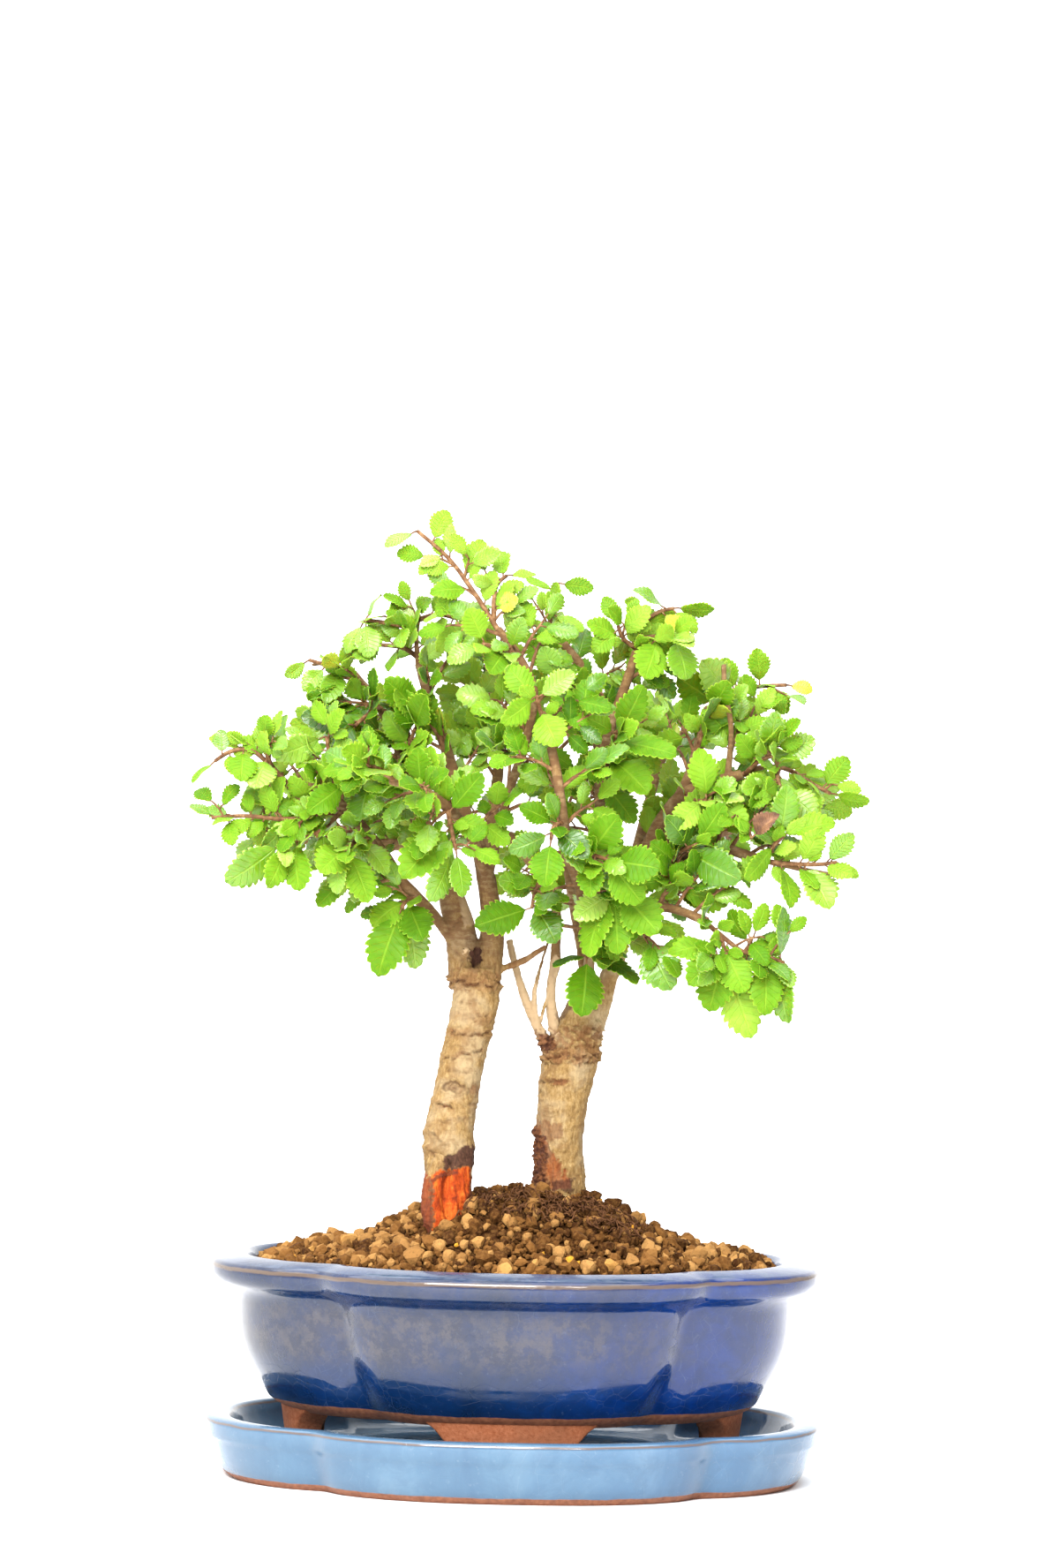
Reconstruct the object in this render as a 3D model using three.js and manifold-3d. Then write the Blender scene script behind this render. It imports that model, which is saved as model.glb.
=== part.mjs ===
// Chinese elm bonsai: two trunks in akadama soil, in a blue glazed four-lobed pot on its drip tray.
// Millimetres, +Z up, +X to the right seen from the front, +Y to the back.
// The origin is the middle of the tray's flat underside, which is what the whole thing stands on.

import * as THREE from "three";
import { mergeVertices } from "three/addons/utils/BufferGeometryUtils.js";
import Module from "manifold-3d";

const wasm = await Module();
wasm.setup();

// Gap that separate pieces keep to each other
const SEAT_GAP = 0.3;

// Plan outline of pot and tray: two crossed superellipses, as shares of the half length
const LOBE_POWER = 2.5;
const END_LOBE_DEPTH = 0.656;
const FRONT_LOBE_DEPTH = 0.8;
const FRONT_LOBE_LENGTH_RIM = 0.796;
const FRONT_LOBE_LENGTH_FOOT = 0.72;

// Pot heights and half lengths
const TRAY_FLOOR = 9;
const POT_FOOT_Z = TRAY_FLOOR + SEAT_GAP;
const POT_UNDERSIDE = 28;
const POT_FLOOR = 35.3;
const POT_RIM = 91.2;
const POT_HALF_LENGTH = 125;
const POT_PROFILE = [
  [0, POT_UNDERSIDE],
  [92, POT_UNDERSIDE],
  [98, 31],
  [104, 37.5],
  [109.5, 49],
  [113, 60],
  [114, 74],
  [117.5, 78.7],
  [122.6, 82.2],
  [POT_HALF_LENGTH, 86],
  [POT_HALF_LENGTH, 88],
  [110.5, POT_RIM],
  [108.5, 88],
  [107.5, 78],
  [106, 58],
  [100, 42.5],
  [90, POT_FLOOR],
  [0, POT_FLOOR],
];
const DRAIN_RADIUS = 8;
const DRAIN_X = 45;
const POT_STEPS = [4, 5];
const TRAY_STEPS = [4, 4];

// Feet: curved slabs under each lobe, tapering downwards
const FOOT_THICKNESS = 14;
const FOOT_TOP = 33;
const FOOT_HALF_LENGTH_TOP = 96;
const FOOT_HALF_LENGTH_BOTTOM = 92.5;
const FRONT_FOOT_HALF_WIDTHS = [31, 25];
const END_FOOT_HALF_WIDTHS = [39, 27];

// Drip tray, one size larger than the pot, with a flat rim
const TRAY_RIM = 24.8;
const TRAY_HALF_LENGTH = 126.5;
const TRAY_PROFILE = [
  [0, 0],
  [116, 0],
  [118.5, 2],
  [122.2, 9],
  [124, 14.5],
  [TRAY_HALF_LENGTH, 17.5],
  [TRAY_HALF_LENGTH, 23.8],
  [125.4, TRAY_RIM],
  [116.5, TRAY_RIM],
  [114.5, 20],
  [111, 13.5],
  [105, TRAY_FLOOR + 0.6],
  [97, TRAY_FLOOR],
  [0, TRAY_FLOOR],
];

// Mesh screens over the two drain holes
const SCREEN_SIDE = 28;
const SCREEN_THICKNESS = 1.2;
const SCREEN_HOLE_SIDE = 7;
const SCREEN_HOLE_PITCH = 10;

// Soil: mounded under the trunks, down to the lip at the edge
const SOIL_EDGE_Z = 88.5;
const SOIL_HALF_DEPTH = 88;
const SOIL_FALL_POWER = 1.35;
const SOIL_SLAB = { length: 232, depth: 182, bottom: 20 };
const GRAIN_LATTICE = 9;
const GRAIN_HEIGHT = 3.4;
const GRAIN_JITTER = 2.4;
const GRAIN_DIP = 0.8;
const SOIL_CREST = [
  [-112, 89],
  [-91, 96],
  [-63, 101],
  [-54, 106],
  [-36, 114],
  [-21, 118],
  [-7, 120],
  [4, 122],
  [29, 118],
  [44, 113],
  [55, 108],
  [66, 102],
  [80, 98],
  [95, 95],
  [112, 89],
];

// Blades: outline from base to tip as [share of length, share of half width] on each side
const BLADE_THICKNESS = 0.8;
const BLADE_EDGE = [
  [0.34, 1.0],
  [0.4, 0.84],
  [0.78, 0.66],
];
const BLADE_FOLD = 0.25;
const ROOT_LENGTH = 1.8;
const LONGEST_RING_GAP = 14;
const LEAST_LEAF_LEAN = 0.2;
const END_LEAF_SHARE = 0.93;
const LEAF_ROOM = 1.2;
const LEAST_END_LEAN = 0.35;
const MOST_SIDE_LEAN = 0.8;
const CLEAR_OF_TWIG_FROM = 0.3;
const CLEAR_OF_LEAVES_FROM = 0.08;
const TWIG_BASE_RADIUS = 1.35;
const TWIG_TIP_RADIUS = 0.75;
const TWIG_SIDES = 4;
const SPRAY_TOLERANCE = 0.2;
const CROWN_CENTRE = new THREE.Vector3(5, 0, 285);

// Seed number of a draw that belongs to a twig rather than to one of its leaves
const WHOLE_TWIG = 9;

// Wood, as [radius, x, y, z] along each stem, from its root outwards
const TRUNK_LEFT_STEMS = [
  { sides: 8, rough: 0.1, path: [
    [9, -27, -35, 72], [11, -28, -34, 96], [9.4, -28, -33, 106], [9.4, -28, -31, 119],
    [10.3, -28, -28, 133], [9.8, -27, -23, 150], [9.2, -23, -17, 172], [8.9, -20, -13, 187],
    [9.7, -18, -10, 199], [9, -18, -9, 209],
  ] },
  { sides: 8, rough: 0.08, path: [
    [7.2, -22, -9, 202], [6.8, -24, -8, 216], [6.1, -26, -8, 227], [5.3, -29, -6, 238], [3.6, -30, -5, 246],
    [1, -30, -5, 253],
  ] },
  { sides: 8, rough: 0.08, path: [
    [7, -15, -9, 202], [5.6, -13, -8, 216], [4.6, -12, -8, 225], [4.3, -13, -8, 235], [4.1, -15, -8, 246],
    [3.4, -17, -7, 255], [2.5, -20, -5, 264],
  ] },
  { sides: 5, rough: 0, path: [
    [3.5, -30, -38, 133], [4, -34, -41, 122], [4.2, -34, -43, 112], [4, -29, -42, 98],
  ] },
  { sides: 5, rough: 0, path: [
    [2.6, -27, -9, 219], [2.3, -33, -12, 227], [2.2, -43, -17, 238], [2.2, -50, -19, 245],
    [2.3, -56, -21, 254], [2.3, -65, -23, 265], [2.1, -77, -24, 277], [1.9, -87, -25, 282],
    [1.7, -97, -26, 283],
  ] },
  { sides: 5, rough: 0, path: [
    [3, -28, -6, 238], [2.6, -35, -2, 257], [2.4, -42, 2, 271], [2.2, -49, 6, 288], [2, -54, 8, 304],
    [1.8, -61, 8, 317], [1.5, -74, 6, 332],
  ] },
  { sides: 5, rough: 0, path: [
    [2.6, -29, -4, 242], [2.3, -38, 18, 260], [2.1, -49, 40, 275], [1.9, -62, 58, 290], [1.6, -72, 69, 301],
  ] },
  { sides: 5, rough: 0, path: [
    [2.8, -18, -6, 258], [2.5, -23, -2, 270], [2.3, -29, 4, 288], [2.1, -35, 8, 306], [1.9, -41, 10, 323],
    [1.6, -45, 10, 335],
  ] },
  { sides: 5, rough: 0, path: [
    [2.2, -15, -9, 245], [1.8, -11, -18, 263], [1.7, -6, -30, 283], [1.6, 0, -40, 302], [1.5, 3, -42, 323],
    [1.5, -3, -40, 336], [1.4, -12, -35, 348],
  ] },
  { sides: 5, rough: 0, path: [
    [2.4, -15, -10, 248], [2.2, -21, -28, 263], [2, -31, -48, 275], [1.8, -42, -64, 282],
    [1.5, -53, -76, 285],
  ] },
  { sides: 5, rough: 0, path: [
    [2.4, -16, -6, 252], [2.2, -13, 10, 274], [2, -11, 24, 295], [1.8, -12, 36, 315], [1.5, -16, 45, 333],
  ] },
  { sides: 5, rough: 0, path: [
    [2.2, -35, -2, 256], [2, -45, 22, 258], [1.8, -59, 40, 260], [1.7, -74, 52, 263], [1.5, -88, 60, 267],
  ] },
];

const TRUNK_RIGHT_STEMS = [
  { sides: 8, rough: 0.1, path: [
    [9, 18, 4, 84], [11.5, 18, 5, 106], [10.4, 18, 5, 119], [9.9, 17, 5, 136], [10.2, 18, 6, 154],
    [11.4, 21, 7, 170], [9.6, 25, 8, 184], [8, 28, 8, 194],
  ] },
  { sides: 7, rough: 0.05, path: [
    [4, 29, 8, 180], [4.2, 33, 6, 194], [3.6, 36, 5, 205], [3.5, 40, 3, 216], [3.3, 41, 0, 227],
    [3.3, 44, -4, 238], [3.2, 47, -8, 248], [3, 52, -12, 262], [2.9, 57, -14, 272], [2.7, 65, -16, 282],
    [2.4, 76, -18, 287], [1.9, 89, -18, 291],
  ] },
  { sides: 5, rough: 0, path: [
    [2.4, 57, -14, 270], [2.2, 67, -8, 288], [2.1, 71, -2, 301], [1.8, 76, 6, 319],
  ] },
  { sides: 5, rough: 0, path: [
    [2.6, 41, 1, 224], [2.4, 36, -4, 251], [2.3, 32, -8, 271], [2.2, 31, -12, 289], [2.1, 34, -14, 307],
    [1.9, 40, -12, 325], [1.6, 45, -10, 341],
  ] },
  { sides: 5, rough: 0, path: [
    [2, 32, -12, 294], [1.8, 27, -6, 313], [1.6, 24, 0, 332], [1.5, 15, 4, 344],
  ] },
  { sides: 5, rough: 0, path: [
    [2.4, 26, 8, 188], [2.2, 28, 6, 206], [2, 28, -4, 220], [2, 25, -24, 238], [1.9, 19, -44, 255],
    [1.8, 16, -56, 270], [1.8, 13, -64, 288], [1.6, 7, -62, 314],
  ] },
  { sides: 5, rough: 0, path: [
    [2.4, 46, -8, 246], [2.2, 55, -16, 250], [2.1, 64, -24, 255], [2, 79, -30, 261], [1.9, 88, -33, 259],
    [1.7, 98, -36, 256],
  ] },
  { sides: 5, rough: 0, path: [
    [2.2, 41, 0, 226], [2, 47, -14, 231], [1.8, 55, -26, 236], [1.7, 64, -36, 235], [1.6, 75, -44, 231],
  ] },
  { sides: 5, rough: 0, path: [
    [2.4, 40, 3, 222], [2.2, 44, 26, 244], [2, 49, 48, 264], [1.8, 55, 66, 287], [1.5, 61, 78, 306],
  ] },
  { sides: 5, rough: 0, path: [
    [2.4, 27, 8, 192], [2.2, 26, 16, 214], [2.1, 23, 24, 230], [2, 19, 36, 252], [1.8, 15, 46, 278],
    [1.6, 12, 52, 305],
  ] },
  { sides: 5, rough: 0, path: [
    [2.2, 52, -11, 262], [2, 67, 14, 264], [1.8, 82, 36, 267], [1.7, 97, 52, 272], [1.5, 109, 59, 277],
  ] },
  { sides: 5, rough: 0, path: [
    [2, 16, 5, 176], [1.8, 12.5, 2, 198], [1.7, 14, -5, 216], [1.7, 14, -12, 234],
    [1.7, 9, -16, 245], [1.6, 3, -22, 253], [1.5, -6, -30, 265],
  ] },
  { sides: 5, rough: 0, path: [
    [2.4, 14, 6, 172], [2.2, 10.5, 4, 179], [1.8, 6.5, 2, 187], [1.6, 2, 1, 197], [1.4, -2, 0, 209], [1.1, -5, 0, 221],
  ] },
];

// Leafy sprays that the front view shows: twigs as points from the limb outwards, and leaves as
// [twig, share of the twig where it roots, tip x, tip y, tip z, width as a share of length]
const SPRAYS = [
  { name: "spray_leader",
    twigs: [[[-11, -35, 346], [-23, -28, 364], [-33, -22, 377], [-46, -20, 388]],
      [[-14, -33, 350], [-13, -30, 366], [-9, -28, 370]]],
    leaves: [[0, 1, -59, -24, 381, 0.5], [0, 0.86, -34, -16, 397, 0.72], [0, 0.62, -43, -26, 372, 0.6],
      [0, 0.5, -19, -18, 385, 0.62], [0, 0.4, -40, -34, 362, 0.55], [1, 1, 3, -24, 371, 0.4],
      [1, 0.7, -23, -36, 369, 0.4], [1, 0.3, -4, -40, 360, 0.75]] },
  { name: "spray_top_left",
    twigs: [[[-45, 10, 333], [-46, 8, 345], [-45, 8, 355]], [[-46, 9, 349], [-58, 2, 351], [-67, 0, 352]],
      [[-45, 10, 337], [-51, 8, 341], [-62, 4, 342]], [[-45, 8, 353], [-37, 2, 355], [-29, -4, 353]]],
    leaves: [[1, 1, -65, -6, 336, 0.8], [1, 1, -61, 6, 363, 0.4], [1, 0.6, -54, 10, 360, 0.45],
      [1, 0.3, -51, -8, 341, 0.5], [2, 1, -69, 2, 334, 0.6], [2, 0.5, -57, 0, 331, 0.45],
      [3, 0.9, -37, -10, 339, 0.45], [3, 1, -19, -6, 349, 0.6], [3, 0.5, -34, 6, 366, 0.6]] },
  { name: "spray_crown_front", twigs: [[[-3, -40, 337], [-9, -50, 339], [-18, -56, 341]]],
    leaves: [[0, 0.95, -24, -60, 355, 0.8], [0, 0.5, -15, -62, 329, 0.85], [0, 1, -32, -58, 333, 0.6],
      [0, 0.4, -2, -56, 352, 0.6]] },
  { name: "spray_left_high", twigs: [[[-73, 6, 331], [-79, 2, 332], [-90, 0, 335]]],
    leaves: [[0, 0.6, -92, -4, 322, 0.65], [0, 0.2, -83, -8, 317, 0.6], [0, 0.4, -70, 0, 343, 0.5],
      [0, 1, -100, 2, 328, 0.5]] },
  { name: "spray_left_dark", twigs: [[[-60, 8, 316], [-66, -6, 312], [-70, -14, 308]]],
    leaves: [[0, 1, -92, -22, 311, 0.64], [0, 0.9, -78, -20, 296, 0.6], [0, 0.7, -62, -16, 297, 0.55]] },
  { name: "spray_left_end",
    twigs: [[[-96, -26, 283], [-103, -27, 290], [-112, -30, 297], [-120, -32, 296], [-126, -34, 292]],
      [[-103, -27, 290], [-105, -32, 295], [-106, -34, 300]],
      [[-98, -26, 283], [-106, -22, 277], [-108, -20, 271], [-108, -20, 261]]],
    leaves: [[0, 1, -135, -36, 283, 0.45], [0, 0.9, -124, -30, 305, 0.85], [0, 0.65, -115, -42, 284, 0.85],
      [1, 0.5, -109, -42, 281, 0.95], [1, 1, -105, -38, 311, 1], [1, 0.8, -97, -28, 301, 0.7],
      [2, 0.25, -95, -28, 267, 0.55], [2, 0.15, -116, -16, 273, 0.45]] },
  { name: "spray_left_pale", twigs: [[[-77, -24, 277], [-79, -30, 290], [-81, -32, 303]]],
    leaves: [[0, 1, -102, -38, 294, 0.5], [0, 0.8, -70, -38, 301, 0.6], [0, 0.6, -64, -34, 286, 0.55]] },
  { name: "spray_left_low",
    twigs: [[[-80, -24, 278], [-89, -31, 270], [-98, -33, 269], [-113, -33, 270], [-127, -33, 269]]],
    leaves: [[0, 0.65, -120, -38, 262, 0.7], [0, 0.97, -136, -30, 274, 0.4], [0, 0.4, -107, -38, 256, 0.4],
      [0, 0.2, -95, -30, 256, 0.5]] },
  { name: "spray_left_bottom", twigs: [[[-74, -24, 273], [-85, -36, 263], [-98, -42, 259]]],
    leaves: [[0, 1, -120, -46, 243, 0.42], [0, 0.95, -103, -48, 241, 0.5], [0, 0.8, -90, -44, 240, 0.7],
      [0, 0.4, -82, -34, 248, 0.5]] },
  { name: "spray_left_mid_low", twigs: [[[-65, -23, 265], [-69, -36, 260], [-72, -42, 256]]],
    leaves: [[0, 0.7, -82, -50, 248, 0.8], [0, 1, -75, -44, 239, 0.5], [0, 0.9, -62, -46, 236, 0.5],
      [0, 0.4, -55, -32, 247, 0.5]] },
  { name: "spray_left_fold", twigs: [[[-49, 6, 288], [-61, -20, 287], [-72, -34, 285]]],
    leaves: [[0, 1, -88, -42, 272, 0.55], [0, 0.7, -66, -42, 269, 0.6], [0, 0.5, -50, -32, 276, 0.6],
      [0, 0.8, -68, -34, 302, 0.5]] },
  { name: "spray_low_left", twigs: [[[-43, -17, 238], [-47, -24, 237], [-49, -28, 234]]],
    leaves: [[0, 0.5, -61, -30, 226, 0.8], [0, 0.6, -40, -38, 221, 0.72], [0, 1, -58, -36, 206, 0.58],
      [0, 0.9, -43, -26, 209, 0.5]] },
  { name: "spray_front_left", twigs: [[[-31, -48, 275], [-29, -56, 266], [-27, -60, 258]]],
    leaves: [[0, 0.5, -48, -68, 246, 0.6], [0, 0.85, -37, -64, 237, 0.45], [0, 1, -24, -62, 239, 0.5],
      [0, 0.3, -14, -58, 265, 0.7]] },
  { name: "spray_mid_cluster", twigs: [[[8, -17, 247], [5, -28, 241], [4, -32, 235]]],
    leaves: [[0, 1, -19, -40, 227, 0.62], [0, 0.9, 14, -38, 219, 0.85], [0, 0.5, -10, -36, 246, 0.65]] },
  { name: "spray_mid_dark", twigs: [[[16, -56, 270], [12, -64, 268], [11, -68, 263]]],
    leaves: [[0, 1, 9, -74, 244, 0.8], [0, 0.8, -6, -70, 258, 0.45], [0, 0.6, 26, -72, 256, 0.7],
      [0, 0.4, -2, -66, 276, 0.6]] },
  { name: "spray_big_front", twigs: [[[28, 0, 217], [29, -9, 217], [27, -16, 215]]],
    leaves: [[0, 1, 25, -24, 191, 0.72], [0, 0.8, 13, -18, 211, 0.4], [0, 0.6, 48, -20, 205, 0.55]] },
  { name: "spray_front_low", twigs: [[[24, -26, 239], [31, -36, 241], [39, -42, 242]]],
    leaves: [[0, 0.8, 27, -50, 216, 0.45], [0, 1, 55, -52, 226, 0.8], [0, 0.9, 39, -48, 217, 0.6],
      [0, 0.4, 14, -52, 236, 0.65]] },
  { name: "spray_front_mid", twigs: [[[19, -44, 255], [27, -54, 257], [35, -60, 255]]],
    leaves: [[0, 1, 55, -66, 252, 0.85], [0, 0.9, 48, -58, 238, 0.75], [0, 0.5, 38, -64, 273, 0.7],
      [0, 0.6, 27, -64, 240, 0.65]] },
  { name: "spray_right_hang", twigs: [[[53, -24, 234], [51, -34, 228], [50, -38, 224]]],
    leaves: [[0, 1, 61, -44, 203, 0.78], [0, 0.7, 38, -38, 224, 0.5]] },
  { name: "spray_right_inner", twigs: [[[56, -27, 236], [58, -30, 242], [63, -32, 243]]],
    leaves: [[0, 1, 84, -38, 239, 0.4], [0, 0.7, 70, -36, 255, 0.5]] },
  { name: "spray_low_right",
    twigs: [[[74, -44, 231], [80, -51, 226], [90, -52, 219], [98, -52, 218], [106, -54, 215]],
      [[80, -51, 226], [82, -55, 219]], [[90, -52, 219], [92, -48, 222], [93, -46, 225]]],
    leaves: [[1, 0.6, 59, -60, 218, 0.5], [1, 0.9, 67, -64, 206, 0.72], [1, 1, 76, -56, 195, 0.7],
      [1, 0.8, 90, -60, 203, 0.8], [2, 1, 108, -46, 224, 0.42], [2, 0.6, 84, -40, 236, 0.5],
      [0, 1, 108, -56, 191, 0.36], [0, 0.8, 98, -60, 194, 0.6], [0, 0.95, 105, -54, 238, 0.35],
      [0, 0.6, 90, -48, 197, 0.5]] },
  { name: "spray_right_fan", twigs: [[[60, -20, 252], [64, -34, 259], [70, -42, 262]]],
    leaves: [[0, 0.7, 88, -48, 248, 0.5], [0, 1, 81, -46, 279, 0.6], [0, 0.8, 57, -50, 273, 0.6]] },
  { name: "spray_right_low",
    twigs: [[[97, -36, 256], [107, -38, 255], [120, -41, 255], [127, -42, 256]],
      [[98, -36, 256], [102, -40, 263], [106, -42, 267]]],
    leaves: [[0, 0.55, 124, -48, 237, 0.75], [0, 1, 136, -40, 250, 0.38], [0, 0.85, 133, -46, 268, 0.6],
      [0, 0.25, 108, -46, 237, 0.5], [1, 1, 126, -44, 272, 0.62], [1, 0.6, 90, -46, 248, 0.4],
      [1, 0.8, 106, -44, 287, 0.6]] },
  { name: "spray_right_end",
    twigs: [[[87, -18, 290], [96, -18, 294], [106, -18, 294], [119, -20, 287], [125, -23, 284]],
      [[104, -18, 294], [103, -27, 290], [104, -31, 286]],
      [[90, -18, 291], [96, -24, 297], [102, -27, 299]]],
    leaves: [[0, 1, 141, -24, 281, 0.45], [0, 0.9, 132, -20, 299, 0.75], [0, 0.8, 119, -26, 274, 0.45],
      [1, 1, 119, -36, 274, 0.75], [1, 0.7, 88, -40, 284, 0.6], [2, 1, 118, -28, 306, 0.75],
      [2, 0.8, 102, -32, 317, 0.6], [2, 0.5, 86, -30, 307, 0.7]] },
  { name: "spray_dead_leaf", twigs: [[[79, -18, 287], [88, -27, 277], [94, -30, 266]]],
    leaves: [[0, 0.97, 107, -34, 279, 0.55], [0, 0.6, 79, -36, 272, 0.75], [0, 0.35, 96, -22, 272, 0.6]] },
  { name: "spray_right_top",
    twigs: [[[75, 5, 317], [84, 9, 324], [96, 12, 328], [108, 12, 329]],
      [[78, 6, 320], [87, 0, 314], [95, -3, 314]]],
    leaves: [[0, 0.7, 95, 8, 344, 0.7], [0, 1, 119, 14, 327, 0.7], [0, 0.85, 108, 4, 317, 0.5],
      [0, 0.4, 82, 12, 340, 0.6], [1, 1, 109, -6, 307, 0.85], [1, 0.5, 80, -8, 303, 0.75]] },
  { name: "spray_bright_right", twigs: [[[65, -16, 282], [70, -30, 280], [74, -38, 280]]],
    leaves: [[0, 1, 70, -44, 301, 0.65], [0, 0.9, 60, -46, 268, 0.62], [0, 0.95, 91, -42, 272, 0.6]] },
  { name: "spray_top_right",
    twigs: [[[45, -10, 339], [47, -8, 351], [53, -8, 357], [60, -8, 359]],
      [[46, -9, 346], [53, -16, 347], [60, -20, 347]],
      [[45, -10, 342], [39, -15, 346], [37, -17, 351]]],
    leaves: [[0, 0.9, 43, -14, 366, 0.5], [0, 0.8, 66, -14, 347, 0.5], [0, 1, 77, -4, 359, 0.4],
      [1, 1, 65, -24, 329, 0.95], [1, 0.6, 48, -30, 329, 0.7], [2, 0.9, 27, -20, 340, 0.75],
      [2, 0.6, 50, -22, 359, 0.5], [2, 1, 31, -14, 363, 0.6]] },
  { name: "spray_top_mid",
    twigs: [[[16, 4, 342], [9, 6, 346], [10, 6, 358], [12, 6, 369]],
      [[10, 6, 350], [6, -2, 352], [4, -8, 350]]],
    leaves: [[0, 1, 27, 4, 367, 0.55], [0, 0.9, -1, 8, 371, 0.4], [0, 0.6, 23, 0, 349, 0.5],
      [1, 1, -10, -12, 356, 0.65], [1, 0.8, 8, -14, 332, 0.8]] },
  { name: "spray_mid_top", twigs: [[[26, -6, 318], [19, -24, 325], [13, -34, 327]]],
    leaves: [[0, 1, 6, -38, 341, 0.8], [0, 0.85, -2, -44, 322, 0.45], [0, 0.9, 17, -44, 311, 0.7],
      [0, 0.4, 33, -26, 330, 0.6]] },
  { name: "spray_mid_front", twigs: [[[32, -11, 284], [34, -30, 296], [37, -42, 306]]],
    leaves: [[0, 1, 21, -50, 314, 0.62], [0, 0.9, 61, -48, 298, 0.42], [0, 0.95, 47, -46, 326, 0.55],
      [0, 0.6, 50, -44, 282, 0.75], [0, 0.5, 22, -42, 290, 0.75]] },
  { name: "spray_front_top", twigs: [[[8, -62, 310], [5, -66, 316], [4, -70, 320]]],
    leaves: [[0, 1, -10, -78, 309, 0.5], [0, 0.9, 19, -70, 330, 0.6], [0, 0.5, 13, -74, 300, 0.85],
      [0, 0.8, -8, -64, 332, 0.7]] },
];

// Sprays that only the sides and the back show: [name, tree, stem, share of the stem, turn in degrees]
const FILL_SPRAYS = [
  ["spray_back_1", "left", 6, 0.5, 30],
  ["spray_back_2", "left", 6, 0.97, 0],
  ["spray_back_3", "left", 6, 0.78, -60],
  ["spray_back_4", "left", 10, 0.55, 50],
  ["spray_back_5", "left", 10, 0.8, -50],
  ["spray_back_6", "left", 10, 0.98, 0],
  ["spray_back_7", "left", 11, 0.6, 60],
  ["spray_back_8", "left", 11, 0.97, 0],
  ["spray_back_9", "right", 8, 0.55, -60],
  ["spray_back_10", "right", 8, 0.8, 50],
  ["spray_back_11", "right", 8, 0.97, 0],
  ["spray_back_12", "right", 9, 0.6, 60],
  ["spray_back_13", "right", 9, 0.98, -20],
  ["spray_back_14", "right", 10, 0.6, -60],
  ["spray_back_15", "right", 10, 0.97, 0],
  ["spray_inner_1", "left", 5, 0.55, 120],
  ["spray_inner_2", "left", 7, 0.55, 60],
  ["spray_inner_3", "left", 9, 0.97, 20],
  ["spray_inner_4", "right", 2, 0.6, -70],
  ["spray_inner_5", "right", 3, 0.62, 110],
  ["spray_inner_6", "left", 9, 0.55, -70],
];
const FILL_TWIG_LENGTH = 22;
const FILL_TWIG_ARCH = 1.5;
const FILL_TWIG_RISE = 0.25;
const FILL_LEAF_DROOP = 0.25;
const FILL_LEAF_LENGTH = 20;
const FILL_LEAF_WIDTH = 0.68;
const FILL_STATIONS = [0.3, 0.48, 0.66, 0.84, 1];
const FILL_SPREAD = [-62, 60, -55, 50, 0];

// Seeded draw between 0 and 1
function draw(i, j, k) {
  const value = Math.sin(i * 12.9898 + j * 78.233 + k * 37.719) * 43758.5453;
  return value - Math.floor(value);
}

function lerp(a, b, t) {
  return a + (b - a) * t;
}

// Reads a list of [x, value] pairs with straight lines between them
function readCurve(pairs, x) {
  if (x <= pairs[0][0]) return pairs[0][1];
  for (let i = 1; i < pairs.length; i += 1) {
    const [x0, y0] = pairs[i - 1];
    const [x1, y1] = pairs[i];
    if (x <= x1) return lerp(y0, y1, (x - x0) / (x1 - x0));
  }
  return pairs[pairs.length - 1][1];
}

// A geometry as a solid: shared corners merged, slivers out, faces outward
function toSolid(geometry) {
  const bare = geometry.index ? geometry.clone() : geometry;
  bare.deleteAttribute("normal");
  bare.deleteAttribute("uv");
  const merged = mergeVertices(bare, 1e-4);
  const place = merged.getAttribute("position").array;
  const source = merged.getIndex().array;
  const corners = [];
  let volume = 0;
  for (let i = 0; i < source.length; i += 3) {
    const [a, b, c] = [source[i], source[i + 1], source[i + 2]];
    if (a === b || b === c || c === a) continue;
    corners.push(a, b, c);
    const va = new THREE.Vector3().fromArray(place, a * 3);
    const vb = new THREE.Vector3().fromArray(place, b * 3);
    const vc = new THREE.Vector3().fromArray(place, c * 3);
    volume += va.dot(vb.cross(vc));
  }
  if (volume < 0) corners.reverse();
  return new wasm.Manifold(new wasm.Mesh({
    numProp: 3,
    vertProperties: new Float32Array(place),
    triVerts: new Uint32Array(corners),
  }));
}

// A solid as a named mesh of its own material
function toMesh(name, solid, material) {
  const shape = solid.getMesh();
  const geometry = new THREE.BufferGeometry();
  const positions = new Float32Array(shape.numVert * 3);
  for (let i = 0; i < shape.numVert; i += 1) {
    positions.set(shape.vertProperties.subarray(i * shape.numProp, i * shape.numProp + 3), i * 3);
  }
  geometry.setAttribute("position", new THREE.BufferAttribute(positions, 3));
  geometry.setIndex(new THREE.BufferAttribute(new Uint32Array(shape.triVerts), 1));
  geometry.computeVertexNormals();
  const mesh = new THREE.Mesh(geometry, material);
  mesh.name = name;
  return mesh;
}

function finish(colour, roughness) {
  return new THREE.MeshStandardMaterial({ color: colour, roughness, metalness: 0, flatShading: true });
}

// Radius of the lobed outline, as a share of the half length
function endLobe(angle) {
  const c = Math.abs(Math.cos(angle));
  const s = Math.abs(Math.sin(angle)) / END_LOBE_DEPTH;
  return (c ** LOBE_POWER + s ** LOBE_POWER) ** (-1 / LOBE_POWER);
}

function frontLobe(angle, lobeLength) {
  const c = Math.abs(Math.cos(angle)) / lobeLength;
  const s = Math.abs(Math.sin(angle)) / FRONT_LOBE_DEPTH;
  return (c ** LOBE_POWER + s ** LOBE_POWER) ** (-1 / LOBE_POWER);
}

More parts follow.
